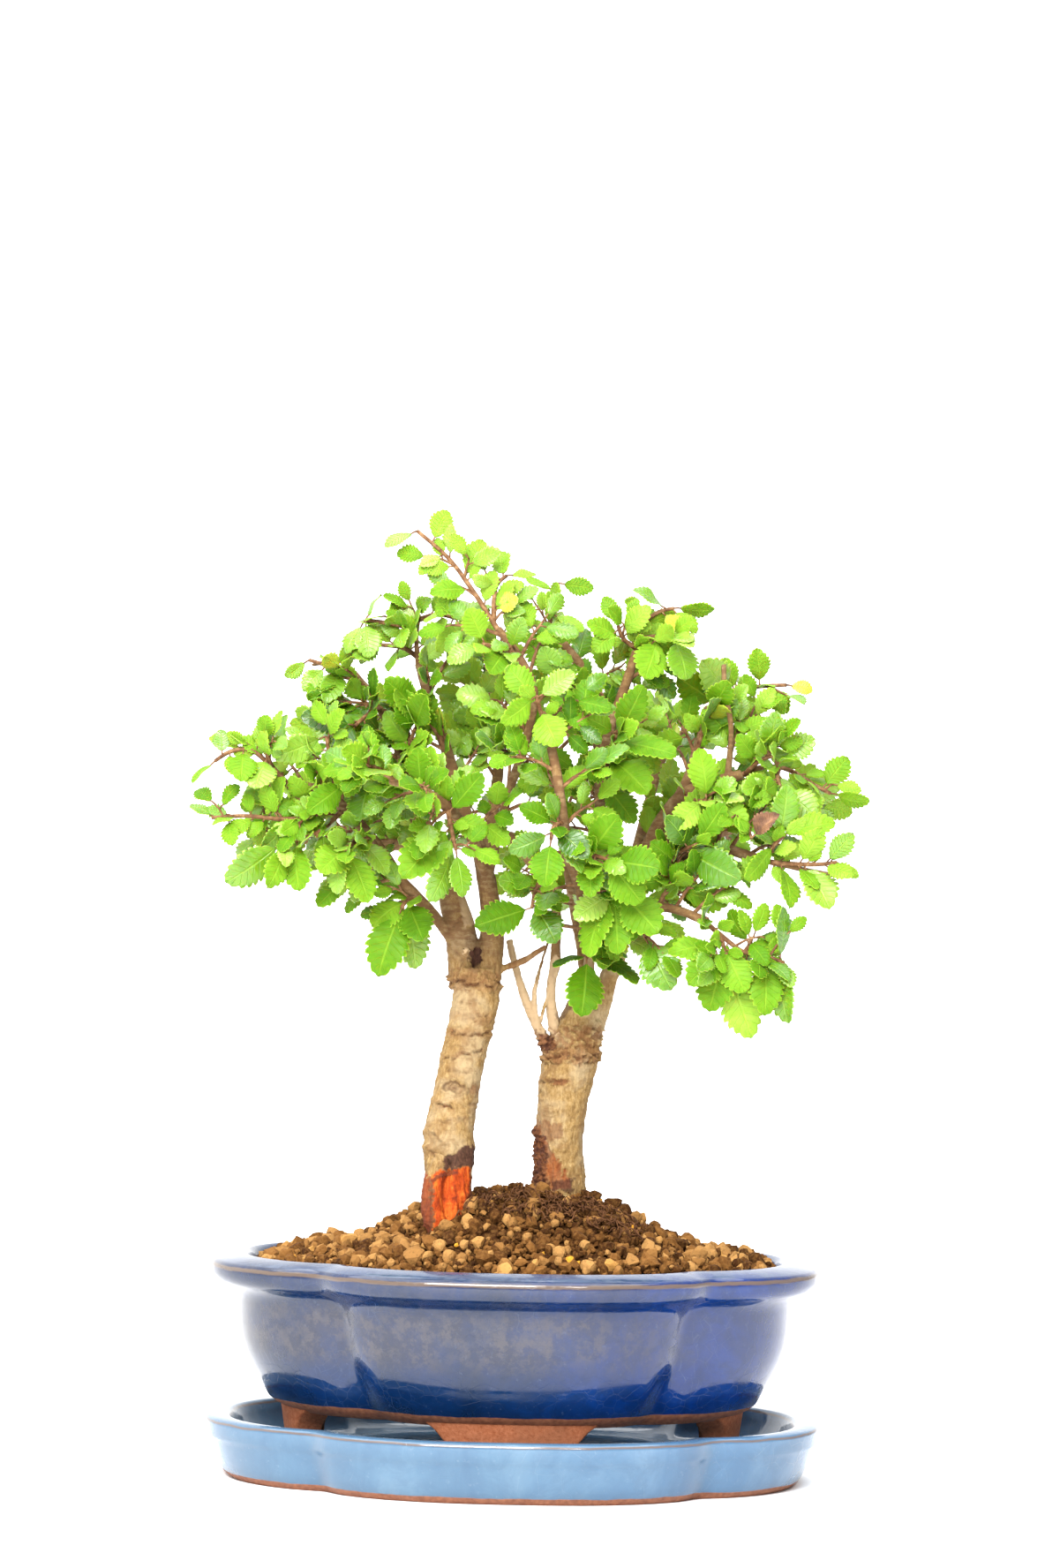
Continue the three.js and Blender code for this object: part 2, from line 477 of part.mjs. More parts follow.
function creaseAngle(lobeLength) {
  let low = 0.2;
  let high = 1.4;
  for (let i = 0; i < 40; i += 1) {
    const middle = (low + high) / 2;
    if (endLobe(middle) > frontLobe(middle, lobeLength)) low = middle;
    else high = middle;
  }
  return (low + high) / 2;
}

// Angles round the outline, with a column on each of the four creases
function lobeColumns(lobeLength, endSteps, frontSteps) {
  const crease = creaseAngle(lobeLength);
  const quarter = [];
  for (let i = 0; i < endSteps; i += 1) quarter.push((crease * i) / endSteps);
  for (let i = 0; i < frontSteps; i += 1) quarter.push(lerp(crease, Math.PI / 2, i / frontSteps));
  const half = quarter.concat([Math.PI / 2], quarter.slice(1).reverse().map((angle) => Math.PI - angle));
  return half.concat(half.map((angle) => angle + Math.PI));
}

// A lathed profile whose rows take the lobed outline; lobeLength gives the front lobe's length at a height
function lobedSolid(profile, [endSteps, frontSteps], lobeLength) {
  const count = 4 * (endSteps + frontSteps);
  const geometry = new THREE.LatheGeometry(profile.map(([r, z]) => new THREE.Vector2(r, z)), count);
  const place = geometry.getAttribute("position");
  for (let i = 0; i < place.count; i += 1) {
    const column = Math.floor(i / profile.length) % count;
    const [radius, z] = profile[i % profile.length];
    const length = lobeLength(z);
    const angle = lobeColumns(length, endSteps, frontSteps)[column];
    const reach = radius * Math.max(endLobe(angle), frontLobe(angle, length));
    place.setXYZ(i, reach * Math.cos(angle), reach * Math.sin(angle), z);
  }
  return toSolid(geometry);
}

function potLobeLength(z) {
  const share = THREE.MathUtils.clamp((z - POT_UNDERSIDE) / (POT_RIM - POT_UNDERSIDE), 0, 1);
  return lerp(FRONT_LOBE_LENGTH_FOOT, FRONT_LOBE_LENGTH_RIM, share);
}

function cylinder(radius, bottom, top, sides, x, y) {
  const geometry = new THREE.CylinderGeometry(radius, radius, top - bottom, sides);
  geometry.rotateX(Math.PI / 2);
  geometry.translate(x, y, (top + bottom) / 2);
  return toSolid(geometry);
}

function block(width, depth, bottom, top, x, y) {
  const geometry = new THREE.BoxGeometry(width, depth, top - bottom);
  geometry.translate(x, y, (top + bottom) / 2);
  return toSolid(geometry);
}

// Outline of a foot at one height: along the lobe outside, parallel to it inside
function footOutline(halfWidth, halfLength, alongEnd) {
  const steps = 5;
  const outer = [];
  const inner = [];
  for (let i = 0; i <= steps; i += 1) {
    const across = lerp(-halfWidth, halfWidth, i / steps);
    const reach = alongEnd ? halfLength : halfLength * FRONT_LOBE_DEPTH;
    const span = alongEnd ? halfLength * END_LOBE_DEPTH : halfLength * FRONT_LOBE_LENGTH_FOOT;
    const out = reach * (1 - (Math.abs(across) / span) ** LOBE_POWER) ** (1 / LOBE_POWER);
    outer.push([across, out]);
    inner.unshift([across * 0.94, out - FOOT_THICKNESS]);
  }
  return outer.concat(inner);
}

function footSolid(halfWidths, alongEnd, turn) {
  const top = footOutline(halfWidths[0], FOOT_HALF_LENGTH_TOP, alongEnd);
  const bottom = footOutline(halfWidths[1], FOOT_HALF_LENGTH_BOTTOM, alongEnd);
  const outline = new THREE.Shape(top.map(([x, y]) => new THREE.Vector2(x, y)));
  const geometry = new THREE.ExtrudeGeometry(outline, { depth: 1, bevelEnabled: false });
  const place = geometry.getAttribute("position");
  for (let i = 0; i < place.count; i += 1) {
    const nearest = top.findIndex(([x, y]) => Math.hypot(x - place.getX(i), y - place.getY(i)) < 1e-3);
    const [x, y] = place.getZ(i) > 0.5 ? top[nearest] : bottom[nearest];
    place.setXYZ(i, x, y, place.getZ(i) > 0.5 ? FOOT_TOP : POT_FOOT_Z);
  }
  geometry.rotateZ(turn);
  return toSolid(geometry);
}

function potSolid() {
  const drains = [-DRAIN_X, DRAIN_X].map((x) => (
    cylinder(DRAIN_RADIUS, POT_UNDERSIDE - 1, POT_FLOOR + 1, 12, x, 0)));
  const feet = [
    footSolid(FRONT_FOOT_HALF_WIDTHS, false, 0),
    footSolid(FRONT_FOOT_HALF_WIDTHS, false, Math.PI),
    footSolid(END_FOOT_HALF_WIDTHS, true, Math.PI / 2),
    footSolid(END_FOOT_HALF_WIDTHS, true, -Math.PI / 2),
  ];
  const body = lobedSolid(POT_PROFILE, POT_STEPS, potLobeLength);
  return wasm.Manifold.union([body, ...feet]).subtract(wasm.Manifold.union(drains));
}

// The soil's room inside the pot, open above the rim, listed downwards like the wall that it follows
function soilRoomProfile() {
  return [
    [0, 140],
    [108.5 - SEAT_GAP, 140],
    [108.5 - SEAT_GAP, 88],
    [107.5 - SEAT_GAP, 78],
    [106 - SEAT_GAP, 58],
    [100 - SEAT_GAP, 42.5 + SEAT_GAP],
    [90 - SEAT_GAP, POT_FLOOR + SEAT_GAP],
    [0, POT_FLOOR + SEAT_GAP],
  ];
}

function traySolid() {
  return lobedSolid(TRAY_PROFILE, TRAY_STEPS, () => FRONT_LOBE_LENGTH_RIM);
}

function screenSolid(x) {
  const bottom = POT_FLOOR + SEAT_GAP;
  const plate = block(SCREEN_SIDE, SCREEN_SIDE, bottom, bottom + SCREEN_THICKNESS, x, 0);
  const holes = [];
  for (const i of [-0.5, 0.5]) {
    for (const j of [-0.5, 0.5]) {
      const [holeX, holeY] = [x + i * SCREEN_HOLE_PITCH, j * SCREEN_HOLE_PITCH];
      holes.push(block(SCREEN_HOLE_SIDE, SCREEN_HOLE_SIDE, bottom - 1, bottom + 3, holeX, holeY));
    }
  }
  return plate.subtract(wasm.Manifold.union(holes));
}

function soilHeight(x, y) {
  const crest = readCurve(SOIL_CREST, x);
  const fall = Math.min(1, Math.abs(y) / SOIL_HALF_DEPTH) ** SOIL_FALL_POWER;
  return lerp(crest, SOIL_EDGE_Z, fall);
}

// Slab with a grainy top: a triangular lattice in which every third corner is a grain's top
function soilSlab() {
  const pitchY = GRAIN_LATTICE * Math.sin(Math.PI / 3);
  const columns = Math.ceil(SOIL_SLAB.length / GRAIN_LATTICE);
  const rows = Math.ceil(SOIL_SLAB.depth / pitchY);
  const positions = [];
  const corners = [];
  const layer = (columns + 1) * (rows + 1);
  for (let j = 0; j <= rows; j += 1) {
    for (let i = 0; i <= columns; i += 1) {
      const x = (i - columns / 2 + (j % 2) / 2) * GRAIN_LATTICE + (draw(i, j, 1) - 0.5) * GRAIN_JITTER;
      const y = (j - rows / 2) * pitchY + (draw(i, j, 2) - 0.5) * GRAIN_JITTER;
      const isGrain = (i - Math.floor(j / 2) - j) % 3 === 0;
      const rise = isGrain ? GRAIN_HEIGHT * lerp(0.45, 1, draw(i, j, 3)) : -GRAIN_DIP * draw(i, j, 4);
      positions.push([x, y, soilHeight(x, y) + rise]);
    }
  }
  for (let n = 0; n < layer; n += 1) positions.push([positions[n][0], positions[n][1], SOIL_SLAB.bottom]);
  for (let j = 0; j < rows; j += 1) {
    for (let i = 0; i < columns; i += 1) {
      const a = j * (columns + 1) + i;
      const [b, c, d] = [a + 1, a + columns + 1, a + columns + 2];
      const faces = j % 2 ? [[a, b, d], [a, d, c]] : [[a, b, c], [b, d, c]];
      faces.forEach(([p, q, r]) => corners.push(p, q, r, p + layer, r + layer, q + layer));
    }
  }
  const rim = [];
  for (let i = 0; i < columns; i += 1) rim.push(i);
  for (let j = 0; j < rows; j += 1) rim.push(j * (columns + 1) + columns);
  for (let i = columns; i > 0; i -= 1) rim.push(rows * (columns + 1) + i);
  for (let j = rows; j > 0; j -= 1) rim.push(j * (columns + 1));
  rim.forEach((a, n) => {
    const b = rim[(n + 1) % rim.length];
    corners.push(a, a + layer, b + layer, a, b + layer, b);
  });
  const geometry = new THREE.BufferGeometry();
  geometry.setAttribute("position", new THREE.Float32BufferAttribute(positions.flat(), 3));
  geometry.setIndex(corners);
  return toSolid(geometry);
}

function soilSolid(stumps) {
  const room = lobedSolid(soilRoomProfile(), POT_STEPS, potLobeLength);
  const pockets = [-DRAIN_X, DRAIN_X].map((x) => {
    const side = SCREEN_SIDE + 2 * SEAT_GAP;
    return block(side, side, 30, POT_FLOOR + SCREEN_THICKNESS + 2 * SEAT_GAP, x, 0);
  });
  return soilSlab().intersect(room).subtract(wasm.Manifold.union(pockets.concat(stumps)));
}

// A stem: a lathed spindle bent along a smooth curve, thicker by grow all over
function stemSolid(path, sides, rough, grow) {
  const points = path.map(([, x, y, z]) => new THREE.Vector3(x, y, z));
  const curve = new THREE.CatmullRomCurve3(points, false, "centripetal");
  const steps = path.length - 1;
  const frames = curve.computeFrenetFrames(steps, false);
  const radii = [];
  for (let i = 0; i <= steps; i += 1) {
    const along = curve.getUtoTmapping(i / steps) * steps;
    const before = Math.min(Math.floor(along), steps - 1);
    radii.push(lerp(path[before][0], path[before + 1][0], along - before));
  }
  const profile = [new THREE.Vector2(0, 0)];
  radii.forEach((radius, i) => profile.push(new THREE.Vector2(radius, i)));
  profile.push(new THREE.Vector2(0, steps));
  const geometry = new THREE.LatheGeometry(profile, sides);
  const place = geometry.getAttribute("position");
  for (let i = 0; i < place.count; i += 1) {
    const row = Math.round(place.getY(i));
    const column = Math.floor(i / profile.length) % sides;
    const radius = Math.hypot(place.getX(i), place.getZ(i));
    const reach = radius > 0 ? radius * (1 + rough * (draw(row, column, sides) - 0.5)) + grow : 0;
    const angle = (column / sides) * 2 * Math.PI;
    const end = row === 0 ? -grow : row === steps ? grow : 0;
    const spot = curve.getPointAt(row / steps)
      .addScaledVector(frames.normals[row], reach * Math.cos(angle))
      .addScaledVector(frames.binormals[row], reach * Math.sin(angle))
      .addScaledVector(frames.tangents[row], end);
    place.setXYZ(i, spot.x, spot.y, spot.z);
  }
  return toSolid(geometry);
}

function woodSolid(stems, grow) {
  return wasm.Manifold.union(stems.map(({ sides, rough, path }) => stemSolid(path, sides, rough, grow)));
}

// Which way a leaf's upper face looks: up, outward, and towards the nearer of front and back
function leafFacing(base, seed, leaf) {
  const outward = base.clone().sub(CROWN_CENTRE).setZ(0).normalize();
  const side = base.y > 25 ? 1 : -1;
  const shake = new THREE.Vector3(...[5, 6, 7].map((n) => draw(seed, leaf, n) - 0.5));
  return new THREE.Vector3(0, 0.8 * side, 0.45)
    .addScaledVector(outward, 0.5)
    .addScaledVector(shake, 0.9)
    .normalize();
}

// Edge of a toothed blade folded along its midrib: right side outwards, tip, left side back
function bladeOutline(base, tip, facing, width) {
  const along = tip.clone().sub(base);
  const length = along.length();
  along.normalize();
  const normal = facing.clone().addScaledVector(along, -facing.dot(along)).normalize();
  const across = new THREE.Vector3().crossVectors(along, normal);
  const halfWidth = (width * length) / 2;
  const side = (sign) => BLADE_EDGE.map(([u, v]) => base.clone()
    .addScaledVector(along, u * length)
    .addScaledVector(across, sign * v * halfWidth)
    .addScaledVector(normal, -BLADE_FOLD * v * halfWidth));
  return { edge: [...side(1), tip.clone(), ...side(-1).reverse()], normal, across };
}

// The same blade by itself from a share of its length on, to try a leaf's room before it is grown
function bladeSolid(base, tip, facing, width, from) {
  const { edge, normal } = bladeOutline(base, tip, facing, width);
  const outline = [base.clone().lerp(tip, from), ...edge];
  const count = outline.length;
  const peak = count / 2;
  const positions = [];
  [0.5, -0.5].forEach((share) => outline.forEach((point) => {
    positions.push(...point.clone().addScaledVector(normal, share * BLADE_THICKNESS).toArray());
  }));
  const corners = [];
  for (let i = 0; i < count; i += 1) {
    const j = (i + 1) % count;
    corners.push(i, i + count, j + count, i, j + count, j);
    if (i !== peak && j !== peak) corners.push(i, j, peak, j + count, i + count, peak + count);
  }
  const geometry = new THREE.BufferGeometry();
  geometry.setAttribute("position", new THREE.Float32BufferAttribute(positions, 3));
  geometry.setIndex(corners);
  return toSolid(geometry);
}

// Ways to bend a leaf clear of what it would cross: [turn about its face, lift of its tip] in degrees
const LEAF_BENDS = [
  [0, 0], [0, 20], [0, -20], [20, 0], [-20, 0], [20, 20], [-20, -20], [0, 40], [0, -40], [38, 0], [-38, 0],
  [38, -30], [-38, 30], [60, 20], [-60, 20],
];

function boxesMeet(a, b, gap) {
  return [0, 1, 2].every((n) => a.min[n] - gap < b.max[n] && b.min[n] - gap < a.max[n]);
}

// True where a solid comes nearer than a gap to any of the others
function crosses(solid, others, gap) {
  const box = solid.boundingBox();
  return others.some((other) => boxesMeet(box, other.box, gap) && solid.minGap(other.solid, 2 * gap) < gap);
}

function withBox(solid) {
  return { solid, box: solid.boundingBox() };
}

function twigPath(points) {
  const last = points.length - 1;
  return points.map((point, i) => [lerp(TWIG_BASE_RADIUS, TWIG_TIP_RADIUS, i / last), ...point]);
}

// Rings of four corners along a twig: one pair at each leaf's root, and more where it runs far without
function twigRings(curve, stations, facing) {
  const length = curve.getLength();
  const half = ROOT_LENGTH / 2 / length;
  const shares = [0, 1];
  stations.forEach((station) => shares.push(station - half, station + half));
  shares.sort((a, b) => a - b);
  for (let i = shares.length - 1; i > 0; i -= 1) {
    const middle = (shares[i] + shares[i - 1]) / 2;
    if ((shares[i] - shares[i - 1]) * length > LONGEST_RING_GAP) shares.splice(i, 0, middle);
  }
  let normal = facing.clone();
  return shares.map((share) => {
    const tangent = curve.getTangentAt(share);
    normal = normal.clone().addScaledVector(tangent, -normal.dot(tangent)).normalize();
    const binormal = new THREE.Vector3().crossVectors(tangent, normal);
    const radius = lerp(TWIG_BASE_RADIUS, TWIG_TIP_RADIUS, share);
    const corners = [0, 1, 2, 3].map((k) => {
      const angle = (k + 0.5) * (Math.PI / 2);
      return curve.getPointAt(share)
        .addScaledVector(normal, radius * Math.cos(angle))
        .addScaledVector(binormal, radius * Math.sin(angle));
    });
    return { share, corners };
  });
}

// Leaf stations of a twig, with those that lie too near each other moved onto the same rings
function rootStations(curve, leaves) {
  const length = curve.getLength();
  const nearest = (2 * ROOT_LENGTH) / length;
  const stations = [];
  leaves.filter(({ atEnd }) => !atEnd).sort((a, b) => a.share - b.share).forEach((leaf) => {
    const share = THREE.MathUtils.clamp(leaf.share, nearest, 1 - nearest / 2);
    const last = stations[stations.length - 1];
    if (last === undefined || share - last > nearest) stations.push(share);
    leaf.station = stations[stations.length - 1];
  });
  return stations;
}

// A twig with its leaves grown out of its faces, as one closed surface with no cuts
function leafyTwigSolid(curve, leaves, facing) {
  const rings = twigRings(curve, rootStations(curve, leaves), facing);
  const positions = [];
  const corners = [];
  const addPoint = (point) => positions.push(...point.toArray()) / 3 - 1;
  const numbers = rings.map((ring) => ring.corners.map(addPoint));
  const point = (n) => new THREE.Vector3().fromArray(positions, n * 3);
  const faces = [];
  for (let i = 0; i + 1 < rings.length; i += 1) {
    for (let k = 0; k < 4; k += 1) {
      const next = (k + 1) % 4;
      const share = (rings[i].share + rings[i + 1].share) / 2;
      faces.push({ share, loop: [numbers[i][k], numbers[i][next], numbers[i + 1][next], numbers[i + 1][k]] });
    }
  }
  faces.push({ share: 0, loop: [...numbers[0]].reverse() });
  faces.push({ share: 2, loop: numbers[rings.length - 1] });
  leaves.forEach((leaf) => {
    const wanted = leaf.atEnd ? 2 : leaf.station;
    const free = faces.filter((face) => !face.taken && Math.abs(face.share - wanted) < 1e-6);
    const aim = leaf.tip.clone().sub(curve.getPointAt(leaf.share)).normalize();
    const scored = free.map((face) => {
      const [p, q, , r] = face.loop.map(point);
      return { face, score: new THREE.Vector3().crossVectors(q.sub(p), r.sub(p)).normalize().dot(aim) };
    });
    const best = scored.sort((a, b) => b.score - a.score)[0];
    if (!best || best.score < LEAST_LEAF_LEAN) return;
    best.face.taken = true;
    addLeaf(best.face.loop, leaf, positions, corners, point);
  });
  faces.filter(({ taken }) => !taken).forEach(({ loop: [a, b, c, d] }) => corners.push(a, b, c, a, c, d));
  const geometry = new THREE.BufferGeometry();
  geometry.setAttribute("position", new THREE.Float32BufferAttribute(positions, 3));
  geometry.setIndex(corners);
  return toSolid(geometry);
}

// Grows one leaf from the four corners of a twig's face, turned to whichever corner suits its facing
function addLeaf(loop, { tip, facing, width }, positions, corners, point) {
  const base = loop.reduce((sum, n) => sum.add(point(n)), new THREE.Vector3()).multiplyScalar(0.25);
  const outline = bladeOutline(base, tip, facing, width);
  const score = (turn) => {
    const [leftTop, rightTop, rightUnder, leftUnder] = [0, 1, 2, 3].map((n) => point(loop[(n + turn) % 4]));
    const sideways = rightTop.clone().add(rightUnder).sub(leftTop).sub(leftUnder).dot(outline.across);
    return sideways + leftTop.add(rightTop).sub(leftUnder).sub(rightUnder).dot(outline.normal);
  };
  const turn = [0, 1, 2, 3].sort((a, b) => score(b) - score(a))[0];
  const [leftTop, rightTop, rightUnder, leftUnder] = [0, 1, 2, 3].map((n) => loop[(n + turn) % 4]);
  const layer = (share) => outline.edge.map((spot) => {
    const place = spot.clone().addScaledVector(outline.normal, share * BLADE_THICKNESS);
    return positions.push(...place.toArray()) / 3 - 1;
  });
  const top = [rightTop, ...layer(0.5), leftTop];
  const under = [rightUnder, ...layer(-0.5), leftUnder];
  const peak = (top.length - 1) / 2;
  const fan = (face, flip) => {
    for (let i = 0; i < face.length; i += 1) {
      const j = (i + 1) % face.length;
      if (i === peak || j === peak) continue;
      if (flip) corners.push(face[j], face[i], face[peak]);
      else corners.push(face[i], face[j], face[peak]);
    }
  };
  fan(top, false);
  fan(under, true);
  for (let i = 0; i + 1 < top.length; i += 1) {
    corners.push(top[i], under[i], under[i + 1], top[i], under[i + 1], top[i + 1]);
  }
}

// Fuses twigs and the leaves that stay clear into one solid, and cuts its seat round the limb
function spraySolid(twigs, leaves, seed, limbs, others) {
  const curves = twigs.map((points) => (
    new THREE.CatmullRomCurve3(points.map((point) => new THREE.Vector3(...point)), false, "centripetal")));
  const bare = twigs.map((points) => withBox(stemSolid(twigPath(points), TWIG_SIDES, 0, 0)));
  const kept = [];
  const chosen = twigs.map(() => []);
  leaves.forEach(([twig, share, x, y, z, width], leaf) => {
    const root = curves[twig].getPointAt(share);
    const tangent = curves[twig].getTangentAt(share);
    const reach = new THREE.Vector3(x, y, z).sub(root);
    const facing = leafFacing(root, seed, leaf);
    const across = new THREE.Vector3().crossVectors(reach, facing).normalize();
    const endFree = share > END_LEAF_SHARE && !chosen[twig].some(({ atEnd }) => atEnd);
    for (const [turn, lift] of LEAF_BENDS) {
      const bent = reach.clone()
        .applyAxisAngle(facing, THREE.MathUtils.degToRad(turn))
        .applyAxisAngle(across, THREE.MathUtils.degToRad(lift));
      const lean = bent.clone().normalize().dot(tangent);
      const atEnd = endFree && lean > LEAST_END_LEAN;
      if (!atEnd && Math.abs(lean) > MOST_SIDE_LEAN) continue;
      const tip = root.clone().add(bent);
      const outer = bladeSolid(root, tip, facing, width, CLEAR_OF_TWIG_FROM);
      const whole = bladeSolid(root, tip, facing, width, CLEAR_OF_LEAVES_FROM);
      if (crosses(whole, others, LEAF_ROOM) || crosses(outer, limbs, LEAF_ROOM)) continue;
      if (crosses(outer, bare, SEAT_GAP) || crosses(whole, kept, SEAT_GAP)) continue;
      chosen[twig].push({ share, tip, facing, width, atEnd });
      kept.push(withBox(whole));
      break;
    }
  });
  const pieces = curves.map((curve, n) => (
    leafyTwigSolid(curve, chosen[n], leafFacing(curve.getPointAt(0.5), seed, WHOLE_TWIG))));
  const fused = wasm.Manifold.union(pieces).subtract(wasm.Manifold.union(limbs.map(({ grown }) => grown)));
  const bodies = fused.decompose().sort((a, b) => b.volume() - a.volume());
  return bodies[0].simplify(SPRAY_TOLERANCE);
}

// A spray placed by rule: a twig bent outwards and up, with leaves to either side and one at its end
function ruledSpray(stem, share, turn, seed) {
  const points = stem.path.map(([, x, y, z]) => new THREE.Vector3(x, y, z));
  const curve = new THREE.CatmullRomCurve3(points, false, "centripetal");
  const root = curve.getPointAt(share);
  const outward = root.clone().sub(CROWN_CENTRE).normalize();
  const heading = outward.clone()
    .applyAxisAngle(curve.getTangentAt(share), THREE.MathUtils.degToRad(turn))
    .add(new THREE.Vector3(0, 0, FILL_TWIG_RISE))
    .normalize();
  const middle = root.clone().addScaledVector(heading, FILL_TWIG_LENGTH / 2);
  middle.z += FILL_TWIG_ARCH;
  const end = root.clone().addScaledVector(heading, FILL_TWIG_LENGTH);
  const twig = [root, middle, end].map((point) => point.toArray());
  const twigCurve = new THREE.CatmullRomCurve3([root, middle, end], false, "centripetal");
  const facing = leafFacing(middle, seed, WHOLE_TWIG);
  const leaves = FILL_STATIONS.map((station, n) => {
    const spread = THREE.MathUtils.degToRad(FILL_SPREAD[n] + 16 * (draw(seed, n, 11) - 0.5));
    const length = FILL_LEAF_LENGTH * (0.85 + 0.3 * draw(seed, n, 12));
    const direction = heading.clone().applyAxisAngle(facing, spread);
    direction.z -= FILL_LEAF_DROOP;
    direction.normalize();
    const tip = twigCurve.getPointAt(station).addScaledVector(direction, length);
    return [0, station, ...tip.toArray(), FILL_LEAF_WIDTH + 0.16 * (draw(seed, n, 13) - 0.5)];
  });
  return { twigs: [twig], leaves };
}

const group = new THREE.Group();

const glazeBlue = finish(0x0c3f8f, 0.2);
const glazePale = finish(0x6fa6dc, 0.25);
const soilOchre = finish(0xa9713a, 0.95);
const bark = finish(0x9c7a4d, 0.85);
const meshBlack = finish(0x222222, 0.7);
const greens = [0x6fbf1c, 0x57a51d, 0x8fd02a, 0x4b9426].map((colour) => finish(colour, 0.45));

const trunkLeft = woodSolid(TRUNK_LEFT_STEMS, 0);
const trunkRight = woodSolid(TRUNK_RIGHT_STEMS, 0);
const limbs = [[trunkLeft, TRUNK_LEFT_STEMS], [trunkRight, TRUNK_RIGHT_STEMS]].map(([solid, stems]) => (
  { ...withBox(solid), grown: woodSolid(stems, SEAT_GAP) }));
const pot = potSolid();
const soil = soilSolid(limbs.map(({ grown }) => grown));

group.add(toMesh("drip_tray", traySolid(), glazePale));
group.add(toMesh("pot", pot, glazeBlue));
group.add(toMesh("drain_screen_left", screenSolid(-DRAIN_X), meshBlack));
group.add(toMesh("drain_screen_right", screenSolid(DRAIN_X), meshBlack));
group.add(toMesh("soil", soil, soilOchre));
group.add(toMesh("trunk_left", trunkLeft, bark));
group.add(toMesh("trunk_right", trunkRight, bark));

const sprays = SPRAYS.concat(FILL_SPRAYS.map(([name, tree, stem, share, turn], n) => {
  const stems = tree === "left" ? TRUNK_LEFT_STEMS : TRUNK_RIGHT_STEMS;
  return { name, ...ruledSpray(stems[stem], share, turn, SPRAYS.length + n) };
}));
const bareTwigs = sprays.map(({ twigs }) => (
  twigs.map((points) => withBox(stemSolid(twigPath(points), TWIG_SIDES, 0, 0)))));
const standing = [];
sprays.forEach(({ name, twigs, leaves }, seed) => {
  const others = standing.concat(bareTwigs.slice(seed + 1).flat());
  const solid = spraySolid(twigs, leaves, seed, limbs, others);
  standing.push(withBox(solid));
  group.add(toMesh(name, solid, greens[seed % greens.length]));
});

export default group;
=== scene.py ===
"""Chinese elm bonsai: looks of the two-trunk tree, its soil, the blue lobed pot and the drip tray."""

import bisect
import math

import bpy
import numpy as np
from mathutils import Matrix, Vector, noise


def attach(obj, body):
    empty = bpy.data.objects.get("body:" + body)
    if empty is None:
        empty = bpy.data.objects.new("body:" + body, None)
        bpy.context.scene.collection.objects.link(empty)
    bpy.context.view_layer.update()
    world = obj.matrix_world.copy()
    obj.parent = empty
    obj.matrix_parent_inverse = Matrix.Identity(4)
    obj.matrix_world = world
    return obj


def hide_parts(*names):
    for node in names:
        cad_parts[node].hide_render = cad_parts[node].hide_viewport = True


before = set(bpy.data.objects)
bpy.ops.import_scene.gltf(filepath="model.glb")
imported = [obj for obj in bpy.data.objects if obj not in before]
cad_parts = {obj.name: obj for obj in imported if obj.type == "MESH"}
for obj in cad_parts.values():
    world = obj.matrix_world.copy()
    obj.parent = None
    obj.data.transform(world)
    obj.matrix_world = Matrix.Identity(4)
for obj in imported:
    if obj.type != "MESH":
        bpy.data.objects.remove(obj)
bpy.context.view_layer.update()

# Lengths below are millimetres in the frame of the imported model; meshes are made in metres
MM = 0.001
UP = np.array([0.0, 0.0, 1.0])

# Plan outline of pot and tray: two crossed superellipses, as shares of the half length. A shallow groove
# runs down their crossing, as deep as a share of the reach and as wide as an angle in radians
LOBE_POWER = 2.5
END_LOBE_DEPTH = 0.656
FRONT_LOBE_DEPTH = 0.8
FRONT_LOBE_LENGTH_RIM = 0.796
FRONT_LOBE_LENGTH_FOOT = 0.72
CREASE_POWER = 90
GROOVE_DEPTH = 0.022
GROOVE_WIDTH = 0.08

# Pot and tray heights and half lengths
POT_FOOT_Z = 9.3
POT_UNDERSIDE = 28
POT_FLOOR = 35.3
POT_RIM = 91.2
GLAZE_END = 32.6
DRAIN_RADIUS = 8
DRAIN_X = 45
FOOT_THICKNESS_TOP = 14
FOOT_THICKNESS_BOTTOM = 10
FOOT_TOP = 33
FOOT_HALF_LENGTH_TOP = 96
FOOT_HALF_LENGTH_BOTTOM = 92.5
FRONT_FOOT_HALF_WIDTHS = (40, 23)
END_FOOT_HALF_WIDTHS = (42, 26)
FOOT_EDGE_RADIUS = 1.1

# Soil crest along X as (x, z), how it falls to the lip in front and behind, and the mounds beside and
# before the bare root, as (height, x, y, how wide)
SOIL_EDGE_Z = 88.5
SOIL_HALF_DEPTH = 88
SOIL_FALL_POWER = 1.35
SOIL_MOUNDS = [(10, -15, -42, 46), (5, -27, -53, 90)]
SOIL_CREST = [
    (-112, 88.5), (-91, 94.5), (-63, 99), (-54, 104.5), (-36, 113.5), (-21, 118), (-7, 120), (4, 122),
    (29, 118), (44, 112.5), (55, 106.5), (66, 100.5), (80, 97), (95, 94), (112, 88.5),
]

# The bed lies below the loose grains, and reaches down the pot's wall; grains reach a little past its edge
BED_DROP = 4.4
BED_HALF_LENGTH = 107.4
BED_FLOOR_HALF_LENGTH = 92
BED_FLOOR_Z = 38
GRAIN_HALF_LENGTH = 107.8

